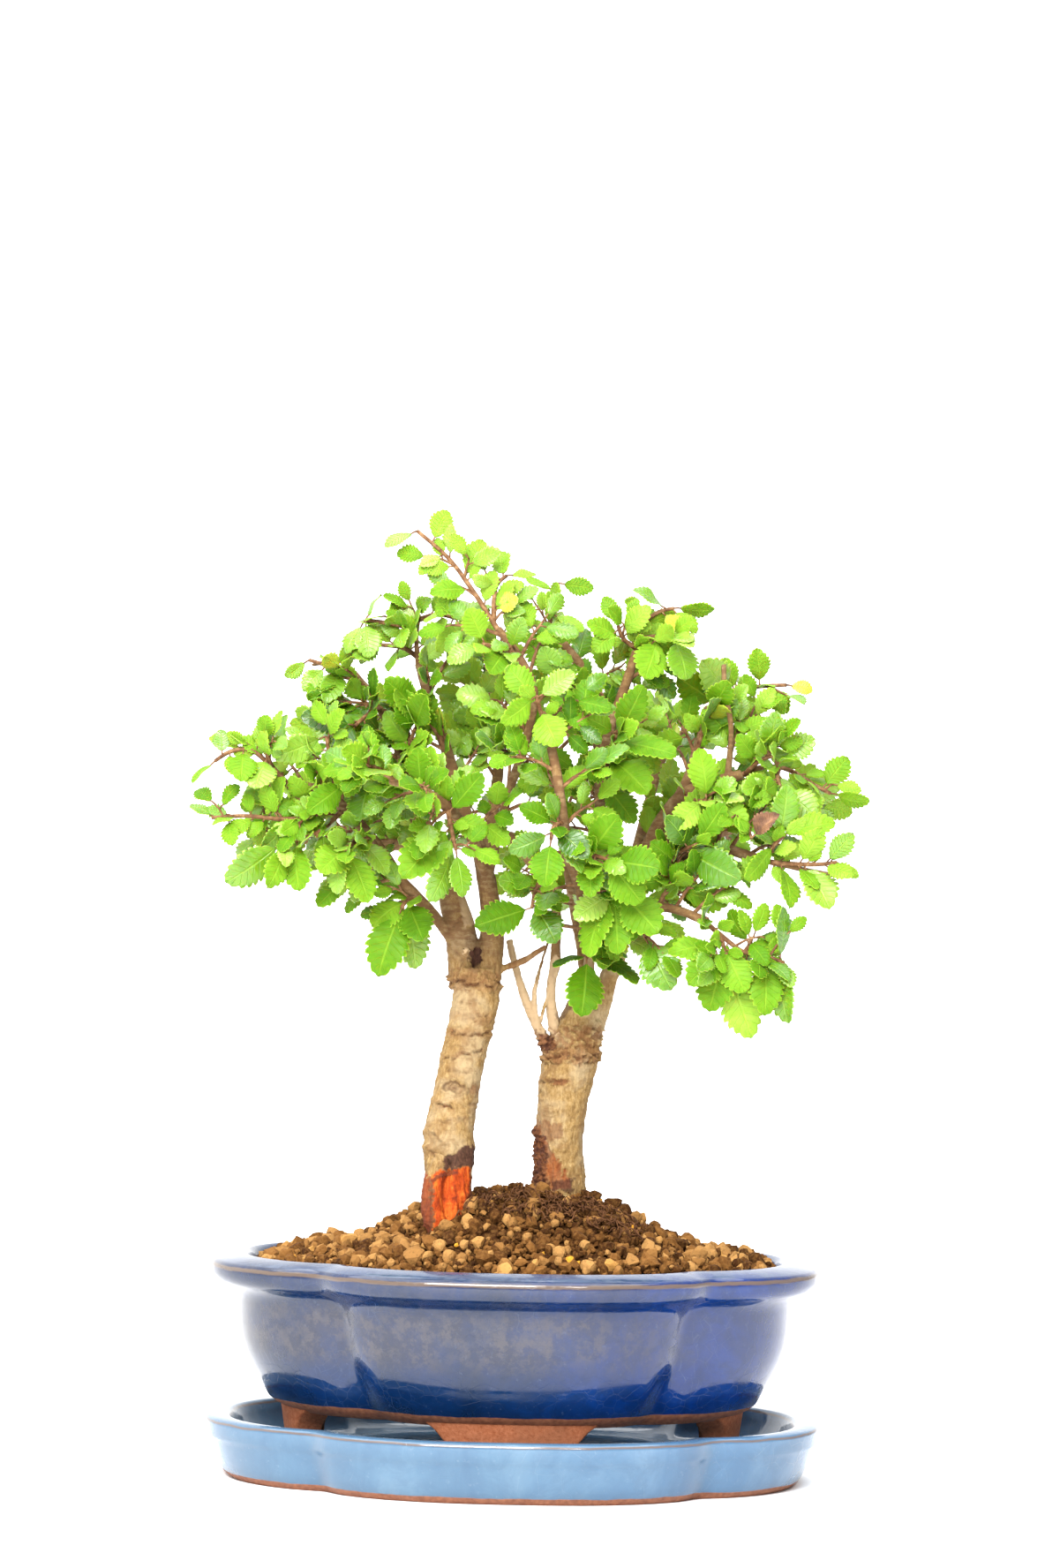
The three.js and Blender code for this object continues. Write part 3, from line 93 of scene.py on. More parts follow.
# Crown seen from the front, as (x, z) round its outline; the bare leader, which no leaf in front covers;
# and what leaves leave open in front of the trunks, as (left, low, right, high)
CROWN_CENTRE = np.array([5.0, 0.0, 285.0])
CROWN_OUTLINE = [
    (-38, 398), (-60, 385), (-69, 356), (-90, 334), (-96, 319), (-130, 302), (-137, 284), (-132, 270),
    (-123, 244), (-94, 239), (-62, 209), (-33, 210), (-26, 244), (18, 227), (27, 194), (53, 204),
    (73, 195), (95, 183), (114, 192), (111, 229), (129, 238), (137, 253), (142, 282), (122, 298),
    (113, 329), (85, 338), (66, 359), (24, 366), (0, 376), (-22, 387),
]
LEADER_LINE = [(9, 324), (0, 336), (-12, 349), (-23, 364), (-33, 377), (-46, 388)]
OPEN_BOXES = [(-34, 206, -8, 252), (-1, 244, 13, 274), (-8, 180, 24, 232)]

# Camera as the photograph has it: how far to the side, off and up it is, and how much it leans
CAMERA_X = -0.4
CAMERA_DISTANCE = 2100
CAMERA_HEIGHT = 263
CAMERA_ROLL = -1.15
LENS = 116.8
SHIFT_UP = 0.0349

# Wood, as (radius, x, y, z) along each stem, from its root outwards
TRUNK_LEFT_STEMS = [
    [(9, -27, -35, 72), (11, -28, -34, 96), (9.4, -28, -33, 106), (9.4, -28, -31, 119),
     (10.3, -28, -28, 133), (9.8, -27, -23, 150), (9.2, -23, -17, 172), (8.9, -20, -13, 187),
     (9.7, -18, -10, 199), (9, -18, -9, 209)],
    [(7.2, -22, -9, 202), (6.8, -24, -8, 216), (6.1, -26, -8, 227), (5.3, -29, -6, 238),
     (3.6, -30, -5, 246), (1, -30, -5, 253)],
    [(7, -15, -9, 202), (5.6, -13, -8, 216), (4.6, -12, -8, 225), (4.3, -13, -8, 235),
     (4.1, -15, -8, 246), (3.4, -17, -7, 255), (2.5, -20, -5, 264)],
    [(3.5, -30, -38, 133), (4, -34, -41, 122), (4.2, -34, -43, 112), (4, -29, -42, 98)],
    [(2.6, -27, -9, 219), (2.3, -33, -12, 227), (2.2, -43, -17, 238), (2.2, -50, -19, 245),
     (2.3, -56, -21, 254), (2.3, -65, -23, 265), (2.1, -77, -24, 277), (1.9, -87, -25, 282),
     (1.7, -97, -26, 283)],
    [(3, -28, -6, 238), (2.6, -35, -2, 257), (2.4, -42, 2, 271), (2.2, -49, 6, 288), (2, -54, 8, 304),
     (1.8, -61, 8, 317), (1.5, -74, 6, 332)],
    [(2.6, -29, -4, 242), (2.3, -38, 18, 260), (2.1, -49, 40, 275), (1.9, -62, 58, 290),
     (1.6, -72, 69, 301)],
    [(2.8, -18, -6, 258), (2.5, -23, -2, 270), (2.3, -29, 4, 288), (2.1, -35, 8, 306),
     (1.9, -41, 10, 323), (1.6, -45, 10, 335)],
    [(2.2, -15, -9, 245), (1.8, -11, -18, 263), (1.7, -6, -30, 283), (1.6, 0, -40, 302),
     (1.5, 3, -42, 323), (1.5, -3, -40, 336), (1.4, -12, -35, 348)],
    [(2.4, -15, -10, 248), (2.2, -21, -28, 263), (2, -31, -48, 275), (1.8, -42, -64, 282),
     (1.5, -53, -76, 285)],
    [(2.4, -16, -6, 252), (2.2, -13, 10, 274), (2, -11, 24, 295), (1.8, -12, 36, 315), (1.5, -16, 45, 333)],
    [(2.2, -35, -2, 256), (2, -45, 22, 258), (1.8, -59, 40, 260), (1.7, -74, 52, 263), (1.5, -88, 60, 267)],
]

TRUNK_RIGHT_STEMS = [
    [(9, 18, 4, 84), (11.5, 18, 5, 106), (10.4, 18, 5, 119), (9.9, 17, 5, 136), (10.2, 18, 6, 154),
     (11.4, 21, 7, 170), (9.6, 25, 8, 184), (8, 28, 8, 194)],
    [(4, 29, 8, 180), (4.2, 33, 6, 194), (3.6, 36, 5, 205), (3.5, 40, 3, 216), (3.3, 41, 0, 227),
     (3.3, 44, -4, 238), (3.2, 47, -8, 248), (3, 52, -12, 262), (2.9, 57, -14, 272), (2.7, 65, -16, 282),
     (2.4, 76, -18, 287), (1.9, 89, -18, 291)],
    [(2.4, 57, -14, 270), (2.2, 67, -8, 288), (2.1, 71, -2, 301), (1.8, 76, 6, 319)],
    [(2.6, 41, 1, 224), (2.4, 36, -4, 251), (2.3, 32, -8, 271), (2.2, 31, -12, 289), (2.1, 34, -14, 307),
     (1.9, 40, -12, 325), (1.6, 45, -10, 341)],
    [(2, 32, -12, 294), (1.8, 27, -6, 313), (1.6, 24, 0, 332), (1.5, 15, 4, 344)],
    [(2.4, 26, 8, 188), (2.2, 28, 6, 206), (2, 28, -4, 220), (2, 25, -24, 238), (1.9, 19, -44, 255),
     (1.8, 16, -56, 270), (1.8, 13, -64, 288), (1.6, 7, -62, 314)],
    [(2.4, 46, -8, 246), (2.2, 55, -16, 250), (2.1, 64, -24, 255), (2, 79, -30, 261), (1.9, 88, -33, 259),
     (1.7, 98, -36, 256)],
    [(2.2, 41, 0, 226), (2, 47, -14, 231), (1.8, 55, -26, 236), (1.7, 64, -36, 235), (1.6, 75, -44, 231)],
    [(2.4, 40, 3, 222), (2.2, 44, 26, 244), (2, 49, 48, 264), (1.8, 55, 66, 287), (1.5, 61, 78, 306)],
    [(2.4, 27, 8, 192), (2.2, 26, 16, 214), (2.1, 23, 24, 230), (2, 19, 36, 252), (1.8, 15, 46, 278),
     (1.6, 12, 52, 305)],
    [(2.2, 52, -11, 262), (2, 67, 14, 264), (1.8, 82, 36, 267), (1.7, 97, 52, 272), (1.5, 109, 59, 277)],
    [(2, 16, 5, 176), (1.8, 12.5, 2, 198), (1.7, 14, -5, 216), (1.7, 14, -12, 234), (1.7, 9, -16, 245),
     (1.6, 3, -22, 253), (1.5, -6, -30, 265)],
    [(2.4, 14, 6, 172), (2.2, 10.5, 4, 179), (1.8, 6.5, 2, 187), (1.6, 2, 1, 197), (1.4, -2, 0, 209),
     (1.1, -5, 0, 221)],
]

# Leafy sprays that the photograph shows, as (name, twigs, leaves). A twig is its points (x, y, z). A leaf
# is (number of its twig, share of the twig's length, x, y, z of its tip, width as a share of its length),
# and some have a tone of their own at the end
SPRAYS = [
    ("spray_leader",
     [[(-11, -35, 346), (-23, -28, 364), (-33, -22, 377), (-46, -20, 388)],
      [(-14, -33, 350), (-13, -30, 366), (-9, -28, 370)]],
     [(0, 1, -59, -24, 381, 0.5), (0, 0.86, -34, -16, 397, 0.72), (0, 0.62, -43, -26, 372, 0.6),
      (0, 0.5, -19, -18, 385, 0.62), (0, 0.4, -40, -34, 362, 0.55), (1, 1, 3, -24, 371, 0.4),
      (1, 0.7, -23, -36, 369, 0.4), (1, 0.3, -4, -40, 360, 0.75, 0.96)]),
    ("spray_top_left",
     [[(-45, 10, 333), (-46, 8, 345), (-45, 8, 355)],
      [(-46, 9, 349), (-58, 2, 351), (-67, 0, 352)],
      [(-45, 10, 337), (-51, 8, 341), (-62, 4, 342)],
      [(-45, 8, 353), (-37, 2, 355), (-29, -4, 353)]],
     [(1, 1, -65, -6, 336, 0.8), (1, 1, -61, 6, 363, 0.4), (1, 0.6, -54, 10, 360, 0.45),
      (1, 0.3, -51, -8, 341, 0.5), (2, 1, -69, 2, 334, 0.6), (2, 0.5, -57, 0, 331, 0.45),
      (3, 0.9, -37, -10, 339, 0.45), (3, 1, -19, -6, 349, 0.6), (3, 0.5, -34, 6, 366, 0.6)]),
    ("spray_crown_front",
     [[(-3, -40, 337), (-9, -50, 339), (-18, -56, 341)]],
     [(0, 0.95, -24, -60, 355, 0.8), (0, 0.5, -15, -62, 329, 0.85), (0, 1, -32, -58, 333, 0.6),
      (0, 0.4, -2, -56, 352, 0.6)]),
    ("spray_left_high",
     [[(-73, 6, 331), (-79, 2, 332), (-90, 0, 335)]],
     [(0, 0.6, -92, -4, 322, 0.65), (0, 0.2, -83, -8, 317, 0.6), (0, 0.4, -70, 0, 343, 0.5),
      (0, 1, -100, 2, 328, 0.5)]),
    ("spray_left_dark",
     [[(-60, 8, 316), (-66, -6, 312), (-70, -14, 308)]],
     [(0, 1, -92, -22, 311, 0.64), (0, 0.9, -78, -20, 296, 0.6), (0, 0.7, -62, -16, 297, 0.55)]),
    ("spray_left_end",
     [[(-96, -26, 283), (-103, -27, 290), (-112, -30, 297), (-120, -32, 296), (-126, -34, 292)],
      [(-103, -27, 290), (-105, -32, 295), (-106, -34, 300)],
      [(-98, -26, 283), (-106, -22, 277), (-108, -20, 271), (-108, -20, 261)]],
     [(0, 1, -135, -36, 283, 0.45), (0, 0.9, -124, -30, 305, 0.85), (0, 0.65, -115, -42, 284, 0.85),
      (1, 0.5, -109, -42, 281, 0.95), (1, 1, -105, -38, 311, 1), (1, 0.8, -97, -28, 301, 0.7),
      (2, 0.25, -95, -28, 267, 0.55), (2, 0.15, -116, -16, 273, 0.45)]),
    ("spray_left_pale",
     [[(-77, -24, 277), (-79, -30, 290), (-81, -32, 303)]],
     [(0, 1, -102, -38, 294, 0.5), (0, 0.8, -70, -38, 301, 0.6), (0, 0.6, -64, -34, 286, 0.55)]),
    ("spray_left_low",
     [[(-80, -24, 278), (-89, -31, 270), (-98, -33, 269), (-113, -33, 270), (-127, -33, 269)]],
     [(0, 0.65, -120, -38, 262, 0.7), (0, 0.97, -136, -30, 274, 0.4), (0, 0.4, -107, -38, 256, 0.4),
      (0, 0.2, -95, -30, 256, 0.5)]),
    ("spray_left_bottom",
     [[(-74, -24, 273), (-85, -36, 263), (-98, -42, 259)]],
     [(0, 1, -120, -46, 243, 0.42), (0, 0.95, -103, -48, 241, 0.5), (0, 0.8, -90, -44, 240, 0.7),
      (0, 0.4, -82, -34, 248, 0.5)]),
    ("spray_left_mid_low",
     [[(-65, -23, 265), (-69, -36, 260), (-72, -42, 256)]],
     [(0, 0.7, -82, -50, 248, 0.8), (0, 1, -75, -44, 239, 0.5), (0, 0.9, -62, -46, 236, 0.5),
      (0, 0.4, -55, -32, 247, 0.5)]),
    ("spray_left_fold",
     [[(-49, 6, 288), (-61, -20, 287), (-72, -34, 285)]],
     [(0, 1, -88, -42, 272, 0.55), (0, 0.7, -66, -42, 269, 0.6), (0, 0.5, -50, -32, 276, 0.6),
      (0, 0.8, -68, -34, 302, 0.5)]),
    ("spray_low_left",
     [[(-43, -17, 238), (-47, -24, 237), (-49, -28, 234)]],
     [(0, 0.5, -61, -30, 226, 0.8), (0, 0.6, -40, -38, 221, 0.72), (0, 1, -58, -36, 206, 0.58),
      (0, 0.9, -43, -26, 209, 0.5)]),
    ("spray_front_left",
     [[(-31, -48, 275), (-29, -56, 266), (-27, -60, 258)]],
     [(0, 0.5, -48, -68, 246, 0.6), (0, 0.85, -37, -64, 237, 0.45), (0, 1, -24, -62, 239, 0.5),
      (0, 0.3, -14, -58, 265, 0.7), (0, 0.15, -17, -54, 289, 0.6)]),
    ("spray_mid_cluster",
     [[(8, -17, 247), (5, -28, 241), (4, -32, 235)]],
     [(0, 1, -19, -40, 227, 0.62, 0.16), (0, 0.9, 14, -38, 221, 0.8, 0.2), (0, 0.5, -10, -36, 246, 0.65)]),
    ("spray_mid_dark",
     [[(16, -56, 270), (12, -64, 268), (11, -68, 263)]],
     [(0, 1, 9, -74, 244, 0.8), (0, 0.8, -6, -70, 258, 0.45), (0, 0.6, 26, -72, 256, 0.7),
      (0, 0.4, -2, -66, 276, 0.6)]),
    ("spray_big_front",
     [[(28, 0, 217), (29, -9, 217), (27, -16, 215)]],
     [(0, 1, 25, -24, 191, 0.72, 0.2), (0, 0.8, 13, -18, 211, 0.4, 0.1), (0, 0.6, 48, -20, 205, 0.55)]),
    ("spray_front_low",
     [[(24, -26, 239), (31, -36, 241), (39, -42, 242)]],
     [(0, 0.8, 27, -50, 216, 0.45), (0, 1, 55, -52, 226, 0.8), (0, 0.9, 39, -48, 217, 0.6),
      (0, 0.9, 21, -50, 231, 0.62, 0.8)]),
    ("spray_front_mid",
     [[(19, -44, 255), (27, -54, 257), (35, -60, 255)]],
     [(0, 1, 55, -66, 252, 0.85), (0, 0.9, 48, -58, 238, 0.75), (0, 0.5, 38, -64, 273, 0.7),
      (0, 0.6, 27, -64, 240, 0.65)]),
    ("spray_right_hang",
     [[(53, -24, 234), (51, -34, 228), (50, -38, 224)]],
     [(0, 1, 61, -44, 203, 0.78), (0, 0.7, 38, -38, 224, 0.5)]),
    ("spray_right_inner",
     [[(56, -27, 236), (58, -30, 242), (63, -32, 243)]],
     [(0, 1, 84, -38, 239, 0.4), (0, 0.7, 70, -36, 255, 0.5)]),
    ("spray_low_right",
     [[(74, -44, 231), (80, -51, 226), (90, -52, 219), (98, -52, 218), (106, -54, 215)],
      [(80, -51, 226), (82, -55, 219)],
      [(90, -52, 219), (92, -48, 222), (93, -46, 225)],
      [(82, -55, 219), (83, -53, 212)]],
     [(1, 0.6, 59, -60, 218, 0.5), (1, 0.9, 67, -64, 206, 0.72), (1, 1, 76, -56, 195, 0.7),
      (1, 0.8, 90, -60, 203, 0.8), (2, 1, 108, -46, 224, 0.42), (2, 0.6, 84, -40, 236, 0.5),
      (0, 1, 108, -56, 191, 0.36), (0, 0.8, 98, -60, 194, 0.6), (0, 0.95, 105, -54, 238, 0.35),
      (0, 0.6, 90, -48, 197, 0.5), (3, 1, 93.5, -50, 184.5, 0.6, 0.72)]),
    ("spray_right_fan",
     [[(60, -20, 252), (64, -34, 259), (70, -42, 262)]],
     [(0, 0.7, 88, -48, 248, 0.5), (0, 1, 81, -46, 279, 0.6), (0, 0.8, 57, -50, 273, 0.6)]),
    ("spray_right_low",
     [[(97, -36, 256), (107, -38, 255), (120, -41, 255), (127, -42, 256)],
      [(98, -36, 256), (102, -40, 263), (106, -42, 267)]],
     [(0, 0.55, 124, -48, 237, 0.75), (0, 1, 136, -40, 250, 0.38), (0, 0.85, 133, -46, 268, 0.6),
      (0, 0.25, 108, -46, 237, 0.5), (1, 1, 126, -44, 272, 0.62), (1, 0.6, 90, -46, 248, 0.4),
      (1, 0.8, 106, -44, 287, 0.6), (0, 0.5, 120, -48, 270, 0.6)]),
    ("spray_right_end",
     [[(87, -18, 290), (96, -18, 294), (106, -18, 294), (119, -20, 287), (125, -23, 284)],
      [(104, -18, 294), (103, -27, 290), (104, -31, 286)],
      [(90, -18, 291), (96, -24, 297), (102, -27, 299)]],
     [(0, 1, 141, -24, 281, 0.45), (0, 0.9, 132, -20, 299, 0.75), (0, 0.8, 119, -26, 274, 0.45),
      (1, 1, 119, -36, 274, 0.75), (1, 0.7, 88, -40, 284, 0.6), (2, 1, 118, -28, 306, 0.75),
      (2, 0.8, 102, -32, 317, 0.6), (2, 0.5, 86, -30, 307, 0.7)]),
    ("spray_dead_leaf",
     [[(79, -18, 287), (88, -33, 277), (92, -45, 265)]],
     [(0, 1, 103, -50, 275, 0.6), (0, 0.6, 79, -36, 272, 0.75), (0, 0.35, 96, -22, 272, 0.6)]),
    ("spray_right_top",
     [[(75, 5, 317), (84, 9, 324), (96, 12, 328), (108, 12, 329)],
      [(78, 6, 320), (87, 0, 314), (95, -3, 314)]],
     [(0, 0.7, 95, 8, 344, 0.7), (0, 1, 119, 14, 327, 0.7, 0.96), (0, 0.85, 108, 4, 317, 0.5),
      (0, 0.4, 82, 12, 340, 0.6), (1, 1, 109, -6, 307, 0.85), (1, 0.5, 80, -8, 303, 0.75),
      (0, 0.15, 62, -4, 331, 0.7, 0.3), (0, 0.3, 72, -8, 338, 0.7)]),
    ("spray_bright_right",
     [[(65, -16, 282), (70, -30, 280), (74, -38, 280)]],
     [(0, 1, 70, -44, 301, 0.65), (0, 0.9, 60, -46, 268, 0.62), (0, 0.95, 91, -42, 272, 0.6)]),
    ("spray_top_right",
     [[(45, -10, 339), (47, -8, 351), (53, -8, 357), (60, -8, 359)],
      [(46, -9, 346), (53, -16, 347), (60, -20, 347)],
      [(45, -10, 342), (39, -15, 346), (37, -17, 351)]],
     [(0, 0.9, 43, -14, 366, 0.5), (0, 0.8, 66, -14, 347, 0.5, 0.96), (0, 1, 77, -4, 359, 0.4),
      (1, 1, 65, -24, 329, 0.95), (1, 0.6, 48, -30, 329, 0.7), (2, 0.9, 27, -20, 340, 0.75),
      (2, 0.6, 50, -22, 359, 0.5), (2, 1, 31, -14, 363, 0.6), (2, 0.6, 24, -20, 352, 0.6)]),
    ("spray_top_mid",
     [[(16, 4, 342), (9, 6, 346), (10, 6, 358), (12, 6, 369)],
      [(10, 6, 350), (6, -2, 352), (4, -8, 350)]],
     [(0, 1, 27, 4, 367, 0.55), (0, 0.9, -1, 8, 371, 0.4), (0, 0.6, 23, 0, 349, 0.5),
      (1, 1, -10, -12, 356, 0.65), (1, 0.8, 8, -14, 332, 0.8)]),
    ("spray_mid_top",
     [[(26, -6, 318), (19, -24, 325), (13, -34, 327)]],
     [(0, 1, 6, -38, 341, 0.8), (0, 0.85, -2, -44, 322, 0.45), (0, 0.9, 17, -44, 311, 0.7),
      (0, 0.4, 33, -26, 330, 0.6)]),
    ("spray_mid_front",
     [[(32, -11, 284), (34, -30, 296), (37, -42, 306)]],
     [(0, 1, 21, -50, 314, 0.62), (0, 0.9, 61, -48, 298, 0.42), (0, 0.95, 47, -46, 326, 0.55),
      (0, 0.6, 50, -44, 282, 0.75), (0, 0.5, 22, -42, 290, 0.75), (0, 0.1, 45, -24, 270, 0.6, 0.3)]),
    ("spray_front_top",
     [[(8, -62, 310), (5, -66, 316), (4, -70, 320)]],
     [(0, 1, -10, -78, 309, 0.5), (0, 0.9, 19, -70, 330, 0.6), (0, 0.5, 13, -74, 300, 0.85),
      (0, 0.8, -8, -64, 332, 0.7)]),
]

# Sprays behind and within the crown, placed by rule: (name, tree, number of the stem, share of its length,
# turn about it in degrees)
FILL_SPRAYS = [
    ("spray_back_1", "left", 6, 0.5, 30),
    ("spray_back_2", "left", 6, 0.97, 0),
    ("spray_back_3", "left", 6, 0.78, -60),
    ("spray_back_4", "left", 10, 0.55, 50),
    ("spray_back_5", "left", 10, 0.8, -50),
    ("spray_back_6", "left", 10, 0.98, 0),
    ("spray_back_7", "left", 11, 0.6, 60),
    ("spray_back_8", "left", 11, 0.97, 0),
    ("spray_back_9", "right", 8, 0.55, -60),
    ("spray_back_10", "right", 8, 0.8, 50),
    ("spray_back_11", "right", 8, 0.97, 0),
    ("spray_back_12", "right", 9, 0.6, 60),
    ("spray_back_13", "right", 9, 0.98, -20),
    ("spray_back_14", "right", 10, 0.6, -60),
    ("spray_back_15", "right", 10, 0.97, 0),
    ("spray_inner_1", "left", 5, 0.55, 120),
    ("spray_inner_2", "left", 7, 0.55, 60),
    ("spray_inner_3", "left", 9, 0.97, 20),
    ("spray_inner_4", "right", 2, 0.6, -70),
    ("spray_inner_5", "right", 3, 0.62, 110),
    ("spray_inner_6", "left", 9, 0.55, -70),
]

# Form of a spray by rule: its twig, and its leaves at their stations along it, spread in degrees
FILL_TWIG_LENGTH = 22
FILL_TWIG_ARCH = 1.5
FILL_TWIG_RISE = 0.25
FILL_LEAF_DROOP = 0.25
FILL_LEAF_LENGTH = 20
FILL_LEAF_WIDTH = 0.68
FILL_STATIONS = (0.3, 0.48, 0.66, 0.84, 1)
FILL_SPREAD = (-62, 60, -55, 50, 0)
FILL_SPREAD_SHAKE = 16.0428

# Number that stands for the whole twig in its seeded draws
WHOLE_TWIG = 9

# Sprays whose leaves are darker or yellower than the rest, from 0, dark green, to 1, yellow-green. The
# tones are partly the leaves' own and partly painted shade: sprays in the middle of the crown, under the
# others, are set darker
SPRAY_TONES = {
    "spray_left_dark": 0.06, "spray_mid_dark": 0.14, "spray_left_fold": 0.36, "spray_right_hang": 0.36,
    "spray_big_front": 0.3, "spray_low_left": 0.4, "spray_low_right": 0.36, "spray_front_low": 0.3,
    "spray_right_fan": 0.22, "spray_leader": 0.56, "spray_bright_right": 0.62, "spray_top_mid": 0.54,
    "spray_left_low": 0.42, "spray_front_top": 0.5, "spray_top_right": 0.56, "spray_right_end": 0.5,
    "spray_front_mid": 0.24, "spray_right_inner": 0.3, "spray_mid_front": 0.3, "spray_dead_leaf": 0.4,
    "spray_mid_cluster": 0.3, "spray_mid_top": 0.42, "spray_front_left": 0.42,
}

# Sprays in which most leaves shine
GLOSSY_SPRAYS = {
    "spray_left_pale", "spray_left_fold", "spray_left_mid_low", "spray_left_bottom", "spray_left_high",
    "spray_left_dark", "spray_top_left",
}


def draw(i, j, k):
    """Seeded draw between 0 and 1."""
    value = math.sin(i * 12.9898 + j * 78.233 + k * 37.719) * 43758.5453
    return value - math.floor(value)


def lerp(a, b, t):
    return a + (b - a) * t


def unit(v):
    return v / max(np.linalg.norm(v), 1e-9)


def turned(v, axis, degrees):
    """v turned about a unit axis."""
    angle = math.radians(degrees)
    c, s = math.cos(angle), math.sin(angle)
    return v * c + np.cross(axis, v) * s + axis * np.dot(axis, v) * (1 - c)


def smooth_step(x, low, high):
    t = np.clip((x - low) / (high - low), 0, 1)
    return t * t * (3 - 2 * t)


class Route:
    """A smooth curve through points, read by share of its length; values run along with it."""

    def __init__(self, points, values=None, steps=10):
        points = [np.array(p, float) for p in points]
        values = values or [0.0] * len(points)
        self.places, self.values = [], []
        last = len(points) - 1
        for i in range(last):
            a, b = points[i], points[i + 1]
            before = points[i - 1] if i else 2 * a - b
            after = points[i + 2] if i + 2 <= last else 2 * b - a
            gaps = [max(np.linalg.norm(q - p) ** 0.5, 1e-3) for p, q in ((before, a), (a, b), (b, after))]
            g0, g1, g2 = gaps
            slope_a = ((a - before) / g0 - (b - before) / (g0 + g1) + (b - a) / g1) * g1
            slope_b = ((b - a) / g1 - (after - a) / (g1 + g2) + (after - b) / g2) * g1
            for n in range(steps + (i == last - 1)):
                t = n / steps
                h = (2 * t**3 - 3 * t**2 + 1, t**3 - 2 * t**2 + t, -2 * t**3 + 3 * t**2, t**3 - t**2)
                self.places.append(h[0] * a + h[1] * slope_a + h[2] * b + h[3] * slope_b)
                self.values.append(lerp(values[i], values[i + 1], t))
        self.places = np.array(self.places)
        hops = np.linalg.norm(np.diff(self.places, axis=0), axis=1)
        self.marks = [0.0, *np.cumsum(hops)]
        self.length = self.marks[-1]

    def _find(self, share):
        mark = min(max(share, 0), 1) * self.length
        i = min(max(bisect.bisect_right(self.marks, mark) - 1, 0), len(self.marks) - 2)
        return i, (mark - self.marks[i]) / max(self.marks[i + 1] - self.marks[i], 1e-9)

    def at(self, share):
        i, t = self._find(share)
        return lerp(self.places[i], self.places[i + 1], t)

    def heading(self, share):
        return unit(self.at(share + 0.01) - self.at(share - 0.01))

    def value(self, share):
        i, t = self._find(share)
        return lerp(self.values[i], self.values[i + 1], t)


class Build:
    """Gathers vertices, faces, material slots and vertex values of one piece."""

    def __init__(self):
        self.verts, self.faces, self.slots, self.values = [], [], [], []
        self.count = 0

    def add(self, verts, faces, slot=0, value=(0.0, 0.0, 0.0)):
        verts = np.asarray(verts, float)
        self.verts.append(verts)
        values = np.broadcast_to(np.asarray(value, float), (len(verts), 3))
        self.values.append(values)
        self.faces.extend([tuple(n + self.count for n in face) for face in faces])
        self.slots.extend([slot] * len(faces))
        self.count += len(verts)

    def mesh(self, name):
        mesh = bpy.data.meshes.new(name)
        mesh.from_pydata((np.concatenate(self.verts) * MM).tolist(), [], self.faces)
        mesh.polygons.foreach_set("material_index", self.slots)
        layer = mesh.attributes.new("blade", "FLOAT_VECTOR", "POINT")
        layer.data.foreach_set("vector", np.concatenate(self.values).ravel())
        return mesh


def new_object(name, data):
    thing = bpy.data.objects.new(name, data)
    bpy.context.scene.collection.objects.link(thing)
    return thing


def new_piece(name, mesh, materials, nodes=(), smooth=True):
    """Puts a mesh into the scene as a piece of the object."""
    for material in materials:
        mesh.materials.append(material)
    mesh.polygons.foreach_set("use_smooth", [smooth] * len(mesh.polygons))
    mesh.update()
    piece = new_object(name, mesh)
    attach(piece, "root")
    if nodes:
        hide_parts(*nodes)


def evaluated(mesh, modifiers, chosen=None):
    """The mesh after modifiers, given as (kind, settings) pairs; chosen are the vertices of a group."""
    helper = new_object("helper", mesh)
    if chosen is not None:
        helper.vertex_groups.new(name="chosen").add(chosen, 1.0, "ADD")
    for kind, settings in modifiers:
        modifier = helper.modifiers.new(kind.lower(), kind)
        for key, value in settings.items():
            setattr(modifier, key, value)
    graph = bpy.context.evaluated_depsgraph_get()
    result = bpy.data.meshes.new_from_object(helper.evaluated_get(graph), depsgraph=graph)
    bpy.data.objects.remove(helper)
    return result


def vertex_places(mesh):
    places = np.empty(len(mesh.vertices) * 3)
    mesh.vertices.foreach_get("co", places)
    return places.reshape(-1, 3) / MM


def vertex_normals(mesh):
    normals = np.empty(len(mesh.vertices) * 3)
    mesh.vertices.foreach_get("normal", normals)
    return normals.reshape(-1, 3)


def set_places(mesh, places):
    mesh.vertices.foreach_set("co", (places * MM).ravel())
    mesh.update()


def set_value(mesh, name, values):
    layer = mesh.attributes.new(name, "FLOAT", "POINT")
    layer.data.foreach_set("value", np.asarray(values, float))


# Shaders


